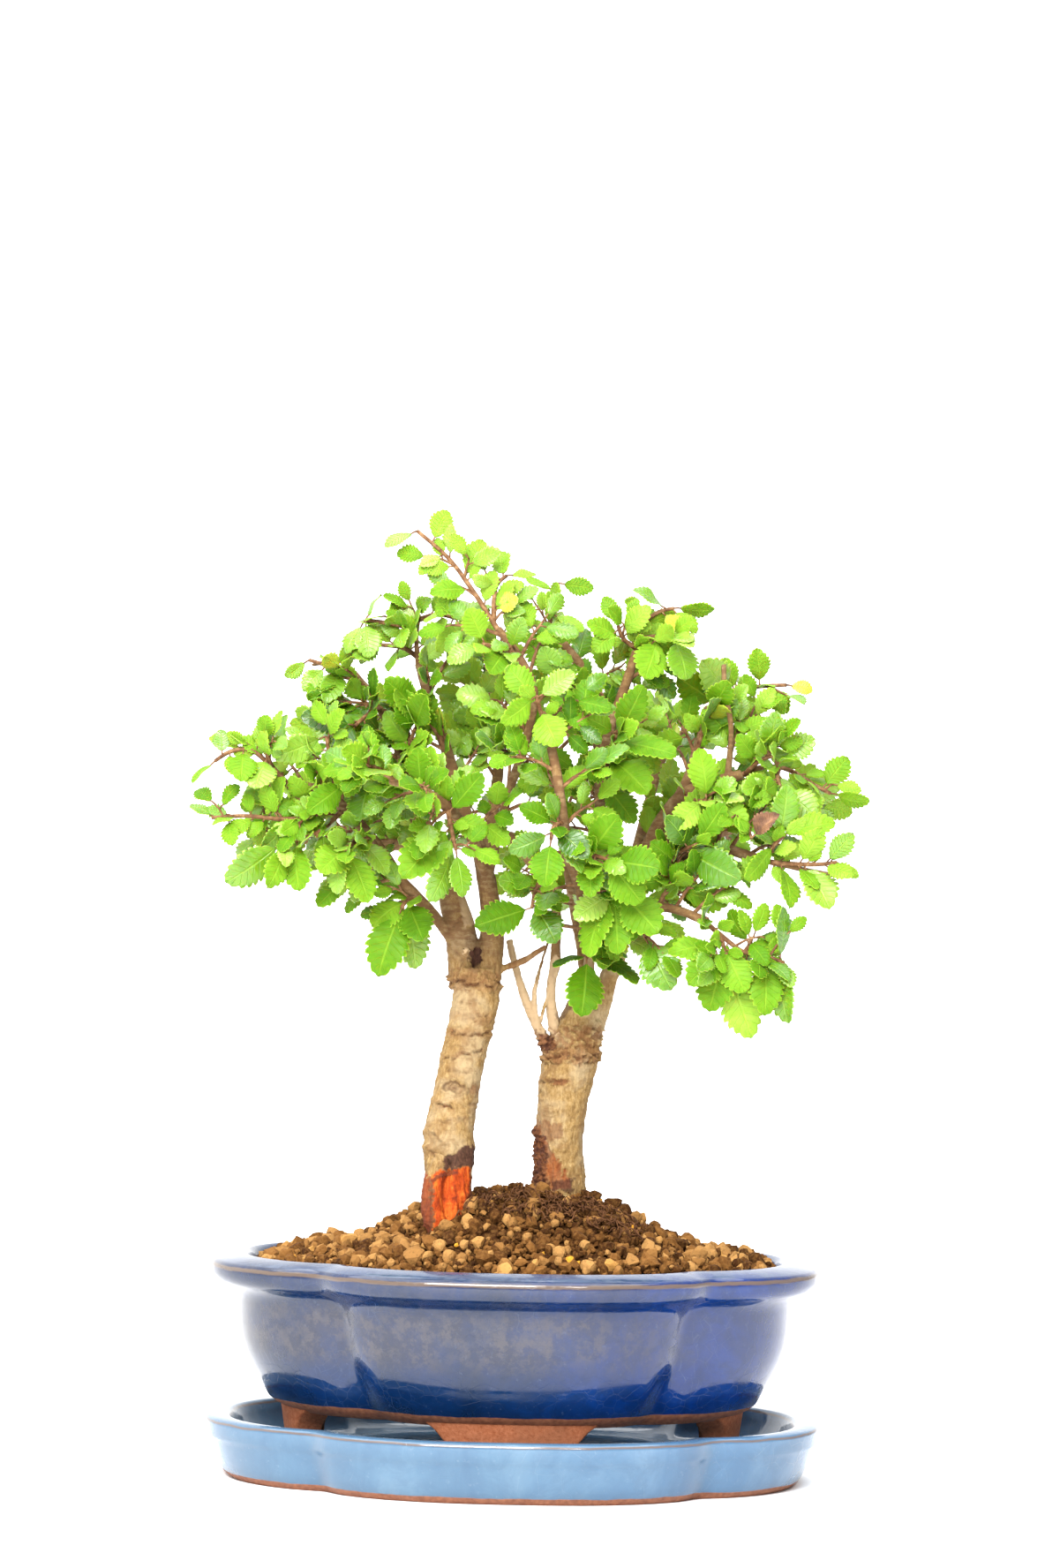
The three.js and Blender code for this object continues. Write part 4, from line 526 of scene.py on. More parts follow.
class Shader:
    """A node material with one Principled shader, and short calls for the nodes before it."""

    def __init__(self, name):
        self.material = bpy.data.materials.new(name)
        self.material.use_nodes = True
        self.tree = self.material.node_tree
        self.surface = self.tree.nodes["Principled BSDF"]

    def put(self, socket, value):
        if isinstance(value, bpy.types.NodeSocket):
            self.tree.links.new(value, socket)
        else:
            socket.default_value = value

    def node(self, kind, inputs=(), **settings):
        node = self.tree.nodes.new("ShaderNode" + kind)
        for key, value in settings.items():
            setattr(node, key, value)
        for key, value in dict(inputs).items():
            self.put(node.inputs[key], value)
        return node

    def place(self):
        return self.node("TexCoord").outputs["Object"]

    def split(self, vector):
        return self.node("SeparateXYZ", {"Vector": vector}).outputs

    def scaled(self, vector, scale):
        return self.node("Mapping", {"Vector": vector, "Scale": scale}).outputs["Vector"]

    def math(self, operation, a, b=0.0):
        return self.node("Math", {0: a, 1: b}, operation=operation).outputs[0]

    def times(self, a, b):
        return self.math("MULTIPLY", a, b)

    def plus(self, a, b):
        return self.math("ADD", a, b)

    def span(self, value, low, high, to_low=0.0, to_high=1.0):
        inputs = {"Value": value, "From Min": low, "From Max": high, "To Min": to_low, "To Max": to_high}
        return self.node("MapRange", inputs, interpolation_type="SMOOTHSTEP").outputs["Result"]

    def noise(self, vector, scale, detail=3.0, roughness=0.55, distortion=0.0):
        inputs = {"Vector": vector, "Scale": scale, "Detail": detail, "Roughness": roughness,
                  "Distortion": distortion}
        return self.node("TexNoise", inputs).outputs["Fac"]

    def cell_edges(self, vector, scale):
        node = self.node("TexVoronoi", {"Vector": vector, "Scale": scale}, feature="DISTANCE_TO_EDGE")
        return node.outputs["Distance"]

    def attribute(self, name):
        return self.node("Attribute", attribute_name=name, attribute_type="GEOMETRY").outputs

    def value(self, name):
        return self.attribute(name)["Fac"]

    def values(self, name):
        return self.split(self.attribute(name)["Vector"])

    def ramp(self, factor, stops):
        node = self.node("ValToRGB", {"Fac": factor})
        points = node.color_ramp.elements
        while len(points) < len(stops):
            points.new(0.5)
        for point, (position, colour) in zip(points, stops):
            point.position = position
            point.color = (*colour, 1)
        return node.outputs["Color"]

    def mix(self, factor, a, b):
        node = self.node("Mix", data_type="RGBA")
        self.put(node.inputs[0], factor)
        for socket, colour in ((node.inputs[6], a), (node.inputs[7], b)):
            self.put(socket, colour if isinstance(colour, bpy.types.NodeSocket) else (*colour, 1))
        return node.outputs[2]

    def bump(self, height, distance, strength=1.0, after=None):
        inputs = {"Height": height, "Distance": distance * MM, "Strength": strength}
        if after is not None:
            inputs["Normal"] = after
        return self.node("Bump", inputs).outputs["Normal"]

    def finish(self, colour, roughness, normal=None, sockets=()):
        self.put(self.surface.inputs["Base Color"], colour)
        self.put(self.surface.inputs["Roughness"], roughness)
        if normal is not None:
            self.put(self.surface.inputs["Normal"], normal)
        for key, value in dict(sockets).items():
            self.put(self.surface.inputs[key], value)
        return self.material


# Side veins along a blade, and how far back they start at its midrib
VEIN_COUNT = 8.6
VEIN_LEAN = 0.17


def side_veins(shader, along, side, width):
    """Veins that leave the midrib forward, about one to each tooth of the finest blade."""
    phase = shader.times(shader.math("SUBTRACT", along, shader.times(side, VEIN_LEAN)), VEIN_COUNT)
    return shader.span(shader.math("PINGPONG", phase, 0.5), 0.0, width, 1.0, 0.0)


def leaf_material(name, gloss, roughness):
    shader = Shader(name)
    along, across, tone = shader.values("blade")
    under = shader.value("under")
    side = shader.math("ABSOLUTE", across)
    vein = side_veins(shader, along, side, 0.1)
    rib = shader.span(side, 0.02, 0.09, 1.0, 0.0)
    edge = shader.span(side, 0.9, 1.0)
    place = shader.place()
    mottle = shader.noise(place, 260.0, 3.0)
    shade = shader.plus(tone, shader.span(mottle, 0.3, 0.7, -0.06, 0.06))
    flesh = shader.ramp(shade, [
        (0.0, (0.030, 0.096, 0.0010)), (0.3, (0.072, 0.188, 0.0030)), (0.55, (0.138, 0.280, 0.0120)),
        (0.75, (0.206, 0.362, 0.0330)), (0.88, (0.275, 0.412, 0.0600)), (1.0, (0.440, 0.385, 0.0250)),
    ])
    lines = shader.math("MAXIMUM", shader.times(vein, 0.1), shader.times(rib, 0.22))
    lines = shader.math("MAXIMUM", lines, shader.times(edge, 0.55))
    colour = shader.mix(lines, flesh, (0.300, 0.470, 0.035))
    colour = shader.mix(shader.times(under, 0.5), colour, (0.170, 0.300, 0.020))
    speck = shader.span(shader.noise(place, 900.0, 2.0), 0.74, 0.82, 0.0, 0.25)
    colour = shader.mix(speck, colour, (0.180, 0.140, 0.020))
    height = shader.math("SUBTRACT", shader.times(mottle, 0.4), shader.math("MAXIMUM", vein, rib))
    rough = shader.span(shader.noise(place, 120.0, 2.0), 0.3, 0.7, roughness, roughness + 0.2)
    sockets = {"Subsurface Weight": 0.2, "Subsurface Scale": 0.0015, "Specular IOR Level": gloss}
    return shader.finish(colour, rough, shader.bump(height, 0.16), sockets)


def dead_leaf_material():
    shader = Shader("dead_leaf")
    along, across, _ = shader.values("blade")
    side = shader.math("ABSOLUTE", across)
    vein = side_veins(shader, along, side, 0.12)
    mottle = shader.noise(shader.place(), 300.0, 4.0)
    colour = shader.ramp(mottle, [
        (0.3, (0.055, 0.022, 0.012)), (0.55, (0.160, 0.070, 0.030)), (0.8, (0.300, 0.160, 0.070)),
    ])
    colour = shader.mix(shader.times(vein, 0.4), colour, (0.300, 0.180, 0.090))
    return shader.finish(colour, 0.7, shader.bump(vein, 0.15))


def twig_material():
    shader = Shader("twig_bark")
    place = shader.place()
    grain = shader.noise(place, 420.0, 4.0)
    colour = shader.ramp(grain, [
        (0.3, (0.060, 0.024, 0.009)), (0.5, (0.150, 0.068, 0.026)), (0.75, (0.300, 0.175, 0.080)),
    ])
    return shader.finish(colour, 0.65, shader.bump(grain, 0.25), {"Specular IOR Level": 0.2})


# Values that each vertex of the wood has
BARK_MARKS = ("crack_shade", "stain", "rust", "dark", "pale")


def bark_material():
    """Tan bark with flakes and grain, and BarkRelief's marks on the mesh, some of them painted shade."""
    shader = Shader("bark")
    place = shader.place()
    crack_shade, stain, rust, dark, pale = (shader.value(name) for name in BARK_MARKS)
    broad = shader.noise(place, 60.0, 4.0)
    grain = shader.noise(shader.scaled(place, (1.0, 1.0, 0.45)), 800.0, 5.0, 0.7)
    mottle = shader.noise(shader.scaled(place, (1.0, 1.0, 0.8)), 105.0, 6.0, 0.65, 0.5)
    flakes = shader.noise(shader.scaled(place, (1.0, 1.0, 2.6)), 190.0, 5.0, 0.62)
    tan = shader.ramp(grain, [
        (0.3, (0.130, 0.068, 0.020)), (0.5, (0.255, 0.155, 0.055)), (0.68, (0.360, 0.250, 0.110)),
    ])
    colour = shader.mix(shader.span(broad, 0.44, 0.62, 0.0, 0.6), tan, (0.370, 0.285, 0.165))
    colour = shader.mix(shader.span(flakes, 0.30, 0.43, 0.55, 0.0), colour, (0.130, 0.070, 0.026))
    colour = shader.mix(shader.span(mottle, 0.49, 0.62, 0.0, 0.6), colour, (0.165, 0.088, 0.034))
    across, _, height = shader.split(place)
    # Painted shade: the left tree, left of x = 2 mm, is up to 14% darker, to even its light with the right
    # tree
    colour = shader.mix(shader.span(across, -0.012, 0.002, 0.14, 0.0), colour, (0.130, 0.070, 0.026))
    browner = shader.times(shader.span(height, 0.198, 0.228), shader.span(flakes, 0.42, 0.62, 0.95, 0.45))
    colour = shader.mix(browner, colour, (0.120, 0.060, 0.025))
    # Painted shade: near black along the cracks' grooves and in the strong knots' rings and hollows
    colour = shader.mix(shader.times(crack_shade, 0.95), colour, (0.042, 0.019, 0.008))
    colour = shader.mix(pale, colour, (0.400, 0.280, 0.160))
    rusty = shader.ramp(grain, [(0.3, (0.060, 0.020, 0.009)), (0.7, (0.210, 0.078, 0.026))])
    colour = shader.mix(rust, colour, rusty)
    fibres = shader.noise(shader.scaled(place, (1.0, 1.0, 0.3)), 420.0, 5.0, 0.65, 0.4)
    orange = shader.ramp(fibres, [
        (0.3, (0.090, 0.010, 0.003)), (0.5, (0.330, 0.042, 0.004)), (0.7, (0.520, 0.130, 0.016)),
    ])
    colour = shader.mix(stain, colour, orange)
    blackish = shader.ramp(grain, [(0.3, (0.014, 0.005, 0.004)), (0.7, (0.075, 0.026, 0.018))])
    # The dark mark is partly the bark's own dark and partly painted shade: the fork hole and the left
    # trunk's foot
    colour = shader.mix(shader.times(dark, 0.92), colour, blackish)
    relief = shader.plus(shader.times(flakes, 0.6), shader.times(grain, 0.45))
    return shader.finish(colour, 0.8, shader.bump(relief, 0.7, 0.9), {"Specular IOR Level": 0.15})


def grain_material():
    """Baked clay grains from dark brown through ochre to yellow, as each grain's tone says."""
    shader = Shader("akadama")
    _, _, tone = shader.values("blade")
    place = shader.place()
    fine = shader.noise(place, 700.0, 4.0, 0.6)
    colour = shader.ramp(tone, [
        (0.0, (0.016, 0.005, 0.002)), (0.2, (0.054, 0.019, 0.004)), (0.45, (0.168, 0.072, 0.018)),
        (0.8, (0.362, 0.192, 0.062)), (1.0, (0.540, 0.245, 0.024)),
    ])
    colour = shader.mix(shader.span(fine, 0.4, 0.7, 0.0, 0.35), colour, (0.240, 0.118, 0.034))
    colour = shader.mix(shader.span(fine, 0.30, 0.45, 0.45, 0.0), colour, (0.030, 0.013, 0.006))
    return shader.finish(colour, 0.92, shader.bump(fine, 0.6), {"Specular IOR Level": 0.08})


def crackle_lines(shader, place, cells):
    """Thin lines between cells, with edges that wander."""
    warp = shader.node("TexNoise", {"Vector": place, "Scale": 60.0}).outputs["Color"]
    bent = shader.node("VectorMath", {0: warp, 1: (0.006, 0.006, 0.006)}, operation="MULTIPLY").outputs[0]
    wander = shader.node("VectorMath", {0: place, 1: bent}, operation="ADD").outputs[0]
    return shader.span(shader.cell_edges(wander, cells), 0.0, 0.02, 1.0, 0.0)


def with_scorch(shader, colour, place, amount):
    """Dark, dull blots on the upper wall, which fade towards +X, further down and under the rim."""
    along, _, height = shader.split(place)
    scorch = shader.times(shader.span(height, 0.047, 0.058),
                          shader.span(along, 0.015, 0.085, amount, 0.1 * amount))
    scorch = shader.times(scorch, shader.span(height, 0.070, 0.077, 1.0, 0.3))
    dull = shader.span(shader.noise(place, 40.0, 8.0, 0.75), 0.36, 0.6, 0.35, 1.0)
    colour = shader.mix(shader.times(scorch, dull), colour, (0.022, 0.019, 0.024))
    blots = shader.span(shader.noise(place, 170.0, 7.0, 0.75), 0.44, 0.58, 0.0, 1.0)
    return shader.mix(shader.times(scorch, shader.times(blots, dull)), colour, (0.056, 0.050, 0.056))


def worn_band(shader, height, low, high):
    """1 between two heights in millimetres, 0 above and below."""
    above = shader.span(height, low * MM, (low + 0.8) * MM)
    below = shader.span(height, high * MM, (high + 0.7) * MM, 1.0, 0.0)
    return shader.math("MINIMUM", above, below)


def glaze_material(name, colours, far_colours, pale, rim, rim_band, glaze_end, crackle, haze, scorched,
                   lip):
    """A glossy stoneware glaze: pooled colour that changes from -X to +X, fine crackle, a worn brown rim.

    rim_band is where the rim is worn, glaze_end where the clay below is bare, and lip where the glaze is
    thin, all in millimetres of height; crackle is cells per metre; haze and scorched are amounts, 0 to 1.
    """
    shader = Shader(name)
    place = shader.place()
    along, _, height = shader.split(place)
    pooled = shader.noise(shader.scaled(place, (1.0, 1.0, 0.55)), 26.0, 5.0, 0.6, 0.6)
    stops = (0.3, 0.55, 0.75)
    near = shader.ramp(pooled, list(zip(stops, colours)))
    far = shader.ramp(pooled, list(zip(stops, far_colours)))
    shift = shader.plus(along, shader.times(shader.noise(place, 18.0, 3.0), 0.05))
    colour = shader.mix(shader.span(shift, 0.02, 0.095), near, far)
    line = crackle_lines(shader, place, crackle)
    patches = shader.span(shader.noise(place, 22.0, 3.0), 0.5, 0.66, 0.0, 0.32)
    colour = shader.mix(shader.times(line, patches), colour, pale)
    clouds = shader.noise(place, 75.0, 6.0, 0.72, 0.8)
    cloud = shader.span(clouds, 0.42, 0.6)
    colour = shader.mix(shader.times(cloud, 0.35), colour, colours[0])
    colour = with_scorch(shader, colour, place, scorched)
    thin = shader.times(shader.span(height, lip * MM, (lip + 0.6) * MM),
                        shader.span(clouds, 0.35, 0.6, 0.2, 0.6))
    colour = shader.mix(thin, colour, pale)
    flecks = shader.noise(place, 420.0, 4.0, 0.7)
    colour = shader.mix(shader.span(flecks, 0.6, 0.75, 0.0, 0.22), colour, pale)
    ragged = shader.plus(height, shader.times(shader.noise(place, 60.0, 4.0), 0.0016))
    colour = shader.mix(shader.times(worn_band(shader, ragged, *rim_band), 0.85), colour, rim)
    clay = shader.ramp(shader.noise(place, 500.0, 4.0),
                       [(0.3, (0.150, 0.045, 0.018)), (0.7, (0.270, 0.100, 0.045))])
    bare = shader.span(ragged, (glaze_end + 0.7) * MM, (glaze_end + 1.2) * MM, 1.0, 0.0)
    colour = shader.mix(bare, colour, clay)
    cloudy = shader.times(cloud, haze)
    rough = shader.plus(shader.plus(cloudy, 0.05), shader.times(bare, 0.7))
    ripple = shader.bump(shader.noise(place, 45.0, 3.0), 0.35, 0.3)
    pitted = shader.bump(shader.noise(place, 900.0, 2.0), 0.012, 1.0, after=ripple)
    return shader.finish(colour, rough, shader.bump(shader.times(line, -1.0), 0.02, after=pitted),
                         {"IOR": 1.53})


def clay_material():
    shader = Shader("terracotta")
    place = shader.place()
    grain = shader.noise(place, 650.0, 5.0, 0.65)
    broad = shader.noise(place, 40.0, 3.0)
    colour = shader.ramp(grain, [(0.3, (0.240, 0.068, 0.026)), (0.7, (0.420, 0.150, 0.070))])
    colour = shader.mix(shader.span(broad, 0.4, 0.65, 0.0, 0.5), colour, (0.200, 0.080, 0.040))
    return shader.finish(colour, 0.8, shader.bump(grain, 0.3), {"Specular IOR Level": 0.15})


def screen_material():
    shader = Shader("screen_mesh")
    place = shader.place()
    scuff = shader.noise(place, 400.0, 3.0)
    colour = shader.ramp(scuff, [(0.3, (0.012, 0.012, 0.012)), (0.8, (0.04, 0.04, 0.04))])
    return shader.finish(colour, 0.6, shader.bump(scuff, 0.1))


def fibre_material():
    shader = Shader("root_fibre")
    grain = shader.noise(shader.place(), 600.0, 3.0)
    colour = shader.ramp(grain, [(0.3, (0.030, 0.011, 0.005)), (0.7, (0.150, 0.065, 0.026))])
    return shader.finish(colour, 0.85, shader.bump(grain, 0.1), {"Specular IOR Level": 0.1})


LEAF = leaf_material("leaf", 0.1, 0.4)
GLOSSY_LEAF = leaf_material("glossy_leaf", 0.5, 0.26)
DEAD_LEAF = dead_leaf_material()
TWIG = twig_material()
BARK = bark_material()
GRAIN = grain_material()
CLAY = clay_material()
SCREEN = screen_material()
FIBRE = fibre_material()
POT_GLAZE = glaze_material(
    "pot_glaze",
    colours=[(0.0014, 0.0096, 0.034), (0.0018, 0.0155, 0.066), (0.0032, 0.0230, 0.096)],
    far_colours=[(0.0010, 0.0115, 0.070), (0.0013, 0.0185, 0.114), (0.0026, 0.0290, 0.163)],
    pale=(0.085, 0.115, 0.180), rim=(0.115, 0.080, 0.055), rim_band=(86.4, 88.0), glaze_end=GLAZE_END,
    crackle=190.0, haze=0.12, scorched=0.6, lip=88.4,
)
TRAY_GLAZE = glaze_material(
    "tray_glaze",
    colours=[(0.047, 0.102, 0.176), (0.068, 0.138, 0.215), (0.108, 0.184, 0.258)],
    far_colours=[(0.041, 0.096, 0.184), (0.058, 0.130, 0.226), (0.094, 0.173, 0.268)],
    pale=(0.220, 0.280, 0.325), rim=(0.130, 0.085, 0.060), rim_band=(23.6, 24.5), glaze_end=2.6,
    crackle=120.0, haze=0.1, scorched=0.0, lip=90.0,
)


# Pot and tray


def lobe_reach(angle, length, depth):
    """How far a superellipse of a half length and half depth reaches at an angle."""
    c, s = abs(math.cos(angle)) / length, abs(math.sin(angle)) / depth
    return (c**LOBE_POWER + s**LOBE_POWER) ** (-1 / LOBE_POWER)


def end_lobe(angle):
    return lobe_reach(angle, 1, END_LOBE_DEPTH)


def front_lobe(angle, lobe_length):
    return lobe_reach(angle, lobe_length, FRONT_LOBE_DEPTH)


def crease_angle(lobe_length):
    """The angle at which the end lobe and the front lobe cross."""
    low, high = 0.2, 1.4
    for _ in range(30):
        middle = (low + high) / 2
        if end_lobe(middle) > front_lobe(middle, lobe_length):
            low = middle
        else:
            high = middle
    return (low + high) / 2


def crossed_lobes(angle, lobe_length):
    """The larger of both lobes' reaches, a little rounded where they cross."""
    ends, front = end_lobe(angle), front_lobe(angle, lobe_length)
    return (ends**CREASE_POWER + front**CREASE_POWER) ** (1 / CREASE_POWER)


def lobe_ring(lobe_length, end_steps, front_steps):
    """Points of the outline at half length 1, as (share x, share y), with columns close to each crease."""
    crease = crease_angle(lobe_length)
    quarter = [crease * math.sin(math.pi / 2 * i / end_steps) for i in range(end_steps)]
    rest = math.pi / 2 - crease
    quarter += [crease + rest * (1 - math.cos(math.pi / 2 * i / front_steps)) for i in range(front_steps)]
    half = quarter + [math.pi / 2] + [math.pi - a for a in reversed(quarter[1:])]
    angles = half + [a + math.pi for a in half]
    reach = []
    for a in angles:
        away = abs(math.atan2(abs(math.sin(a)), abs(math.cos(a))) - crease)
        groove = 1 - GROOVE_DEPTH * math.exp(-((away / GROOVE_WIDTH) ** 2))
        reach.append(crossed_lobes(a, lobe_length) * groove)
    return np.array([(r * math.cos(a), r * math.sin(a)) for r, a in zip(reach, angles)])


def pot_lobe_length(z):
    share = min(max((z - POT_UNDERSIDE) / (POT_RIM - POT_UNDERSIDE), 0), 1)
    return lerp(FRONT_LOBE_LENGTH_FOOT, FRONT_LOBE_LENGTH_RIM, share)


def ring_quads(rings, count):
    """Faces between rings of count points that follow each other."""
    faces = []
    for j in range(rings - 1):
        for i in range(count):
            a, b = j * count + i, j * count + (i + 1) % count
            faces.append((a, b, b + count, a + count))
    return faces


def lobed_shell(profile, lobe_length, end_steps=16, front_steps=22):
    """A profile of (half length, z) from axis to axis, turned round the lobed outline."""
    verts = []
    count = 4 * (end_steps + front_steps)
    for radius, z in profile[1:-1]:
        ring = lobe_ring(lobe_length(z), end_steps, front_steps) * radius
        verts.extend([(x, y, z) for x, y in ring])
    rows = len(profile) - 2
    faces = ring_quads(rows, count)
    first, last = len(verts), len(verts) + 1
    verts += [(0, 0, profile[0][1]), (0, 0, profile[-1][1])]
    for i in range(count):
        k = (i + 1) % count
        faces.append((first, k, i))
        faces.append((last, (rows - 1) * count + i, (rows - 1) * count + k))
    return verts, faces


def rounded(profile, corners):
    """The profile with its named corners turned into small arcs, given as {index: radius}."""
    out = []
    for i, point in enumerate(profile):
        if i not in corners:
            out.append(point)
            continue
        here = np.array(point, float)
        ends = [here + unit(np.array(profile[n], float) - here) * corners[i] for n in (i - 1, i + 1)]
        for n in range(5):
            t = n / 4
            out.append(tuple((1 - t) ** 2 * ends[0] + 2 * t * (1 - t) * here + t * t * ends[1]))
    return out


# Profiles as (half length, z), from the underside's middle outwards, over the lip and down inside
POT_PROFILE = rounded([
    (0, 28), (92, 28), (98, 31), (100.8, 33.2), (103.7, 38), (106.8, 43.2), (109.6, 48.5), (111.3, 52.6),
    (112.5, 57), (113.4, 63), (114, 72.5),
    (115, 75.2), (117.5, 77.7), (121, 79.4), (124, 81.2), (125.3, 83.8), (125.1, 87.2), (123.4, 88.7),
    (110.9, 91.2), (109.2, 89.4), (108.2, 85), (107.5, 78), (106.4, 62), (104.6, 52), (100, 42.5),
    (95, 37.6), (90, 35.3), (0, 35.3),
], {1: 1.5, 16: 1.0, 18: 1.2})
TRAY_PROFILE = rounded([
    (0, 0), (116, 0), (118.5, 2), (120.6, 5.4), (122.4, 9.5), (124, 14.5), (125.2, 16.6), (126.5, 18),
    (126.5, 23.6), (125.2, 24.8), (117, 24.8), (115.6, 23.4), (114.4, 20), (111.4, 13.8), (107, 10.4),
    (100, 9), (0, 9),
], {1: 0.8, 8: 0.9, 10: 0.8})


def disc_cutter(x, bottom, top, sides=32):
    angles = np.linspace(0, 2 * math.pi, sides + 1)[:-1]
    ring = [(x + DRAIN_RADIUS * math.cos(a), DRAIN_RADIUS * math.sin(a)) for a in angles]
    verts = [(*p, bottom) for p in ring] + [(*p, top) for p in ring]
    faces = [tuple(reversed(range(sides))), tuple(range(sides, 2 * sides))]
    return verts, faces + ring_quads(2, sides)


def make_pot():
    build = Build()
    build.add(*lobed_shell(POT_PROFILE, pot_lobe_length))
    drains = Build()
    for x in (-DRAIN_X, DRAIN_X):
        drains.add(*disc_cutter(x, POT_UNDERSIDE - 2, POT_FLOOR + 2))
    cutter = new_object("cutter", drains.mesh("cutter"))
    cut = evaluated(build.mesh("pot_body"), [("BOOLEAN", {"operation": "DIFFERENCE", "object": cutter})])
    bpy.data.objects.remove(cutter)
    new_piece("pot_body", cut, [POT_GLAZE], ["pot"])
    feet = Build()
    for turns in range(4):
        feet.add(*foot(turns))
    bevel = {"width": FOOT_EDGE_RADIUS * MM, "segments": 3, "limit_method": "ANGLE"}
    rounded_feet = evaluated(feet.mesh("pot_feet"), [("BEVEL", bevel)])
    new_piece("pot_feet", rounded_feet, [CLAY], ["pot"])


def foot_outline(half_width, half_length, thickness, along_end, steps=14):
    """A foot seen from above: along the lobe outside, parallel to it inside."""
    outer, inner = [], []
    for i in range(steps + 1):
        across = lerp(-half_width, half_width, i / steps)
        reach = half_length * (1 if along_end else FRONT_LOBE_DEPTH)
        span = half_length * (END_LOBE_DEPTH if along_end else FRONT_LOBE_LENGTH_FOOT)
        out = reach * (1 - (abs(across) / span) ** LOBE_POWER) ** (1 / LOBE_POWER)
        outer.append((across, out))
        inner.insert(0, (across * 0.94, out - thickness))
    return outer + inner


def foot(turns):
    """One foot, which narrows downwards; odd quarter turns are at the pot's ends."""
    levels = [(0.0, FOOT_TOP), (0.3, 27.0), (0.52, 22.0), (0.72, 17.0), (0.88, 12.5), (1.0, POT_FOOT_Z)]
    along_end = turns % 2 == 1
    half_widths = END_FOOT_HALF_WIDTHS if along_end else FRONT_FOOT_HALF_WIDTHS
    verts = []
    c, s = math.cos(-turns * math.pi / 2), math.sin(-turns * math.pi / 2)
    for share, z in levels:
        half_length = lerp(FOOT_HALF_LENGTH_TOP, FOOT_HALF_LENGTH_BOTTOM, share)
        thickness = lerp(FOOT_THICKNESS_TOP, FOOT_THICKNESS_BOTTOM, share**0.5)
        half_width = lerp(half_widths[1], half_widths[0], (1 - share) ** 2)
        ring = foot_outline(half_width, half_length, thickness, along_end)
        verts += [(x * c - y * s, x * s + y * c, z) for x, y in ring]
    count = len(ring)
    faces = ring_quads(len(levels), count)
    half = count // 2
    for start, flip in ((0, False), ((len(levels) - 1) * count, True)):
        for i in range(half - 1):
            quad = (start + i, start + count - 1 - i, start + count - 2 - i, start + i + 1)
            faces.append(tuple(reversed(quad)) if flip else quad)
    return verts, faces


def make_tray():
    build = Build()
    build.add(*lobed_shell(TRAY_PROFILE, lambda z: FRONT_LOBE_LENGTH_RIM))
    new_piece("tray_body", build.mesh("tray_body"), [TRAY_GLAZE], ["drip_tray"])


# Soil


def soil_height(x, y):
    crest = float(np.interp(x, [p[0] for p in SOIL_CREST], [p[1] for p in SOIL_CREST]))
    fall = min(1, abs(y) / SOIL_HALF_DEPTH) ** SOIL_FALL_POWER
    z = lerp(crest, SOIL_EDGE_Z, fall)
    for height, mound_x, mound_y, spread in SOIL_MOUNDS:
        z += height * math.exp(-((x - mound_x) ** 2 + (y - mound_y) ** 2) / spread)
    return z


def make_soil_bed():
    """The soil under the loose grains, out to the pot's wall; near black, as painted shade between grains.
    """
    build = Build()
    rings, end_steps, front_steps = 26, 10, 12
    edge = lobe_ring(pot_lobe_length(88), end_steps, front_steps) * BED_HALF_LENGTH
    count = len(edge)
    verts = [(0, 0, soil_height(0, 0) - BED_DROP)]
    for j in range(1, rings + 1):
        for i, (x, y) in enumerate(edge * (j / rings)):
            verts.append((x, y, soil_height(x, y) - BED_DROP + 1.4 * (draw(i, j, 51) - 0.5)))
    faces = [(0, 1 + i, 1 + (i + 1) % count) for i in range(count)]
    for j in range(rings - 1):
        for i in range(count):
            a, b = 1 + j * count + i, 1 + j * count + (i + 1) % count
            faces.append((a, a + count, b + count, b))
    start = len(verts)
    low = lobe_ring(pot_lobe_length(40), end_steps, front_steps) * BED_FLOOR_HALF_LENGTH
    verts += [(x, y, BED_FLOOR_Z) for x, y in low] + [(0, 0, BED_FLOOR_Z)]
    top = start - count
    for i in range(count):
        k = (i + 1) % count
        faces.append((top + i, start + i, start + k, top + k))
        faces.append((start + count, start + k, start + i))
    # Painted shade: the bed's tone is near black, which shows in the gaps between the grains
    build.add(verts, faces, value=(0, 0, 0.1))
    new_piece("soil_bed", build.mesh("soil_bed"), [GRAIN], ["soil"])


def rock():
    """Corners and triangles of an icosahedron, and the same with each triangle cut into four."""
    g = (1 + 5**0.5) / 2
    corners = [(-1, g, 0), (1, g, 0), (-1, -g, 0), (1, -g, 0), (0, -1, g), (0, 1, g),
               (0, -1, -g), (0, 1, -g), (g, 0, -1), (g, 0, 1), (-g, 0, -1), (-g, 0, 1)]
    faces = [(0, 11, 5), (0, 5, 1), (0, 1, 7), (0, 7, 10), (0, 10, 11), (1, 5, 9), (5, 11, 4), (11, 10, 2),
             (10, 7, 6), (7, 1, 8), (3, 9, 4), (3, 4, 2), (3, 2, 6), (3, 6, 8), (3, 8, 9), (4, 9, 5),
             (2, 4, 11), (6, 2, 10), (8, 6, 7), (9, 8, 1)]
    edges = sorted({tuple(sorted(pair)) for a, b, c in faces for pair in ((a, b), (b, c), (c, a))})
    middle = {edge: 12 + n for n, edge in enumerate(edges)}
    quarters = []
    for a, b, c in faces:
        ab, bc, ca = (middle[tuple(sorted(pair))] for pair in ((a, b), (b, c), (c, a)))
        quarters += [(a, ab, ca), (b, bc, ab), (c, ca, bc), (ab, bc, ca)]
    return np.array([unit(np.array(c, float)) for c in corners]), np.array(edges), faces, quarters


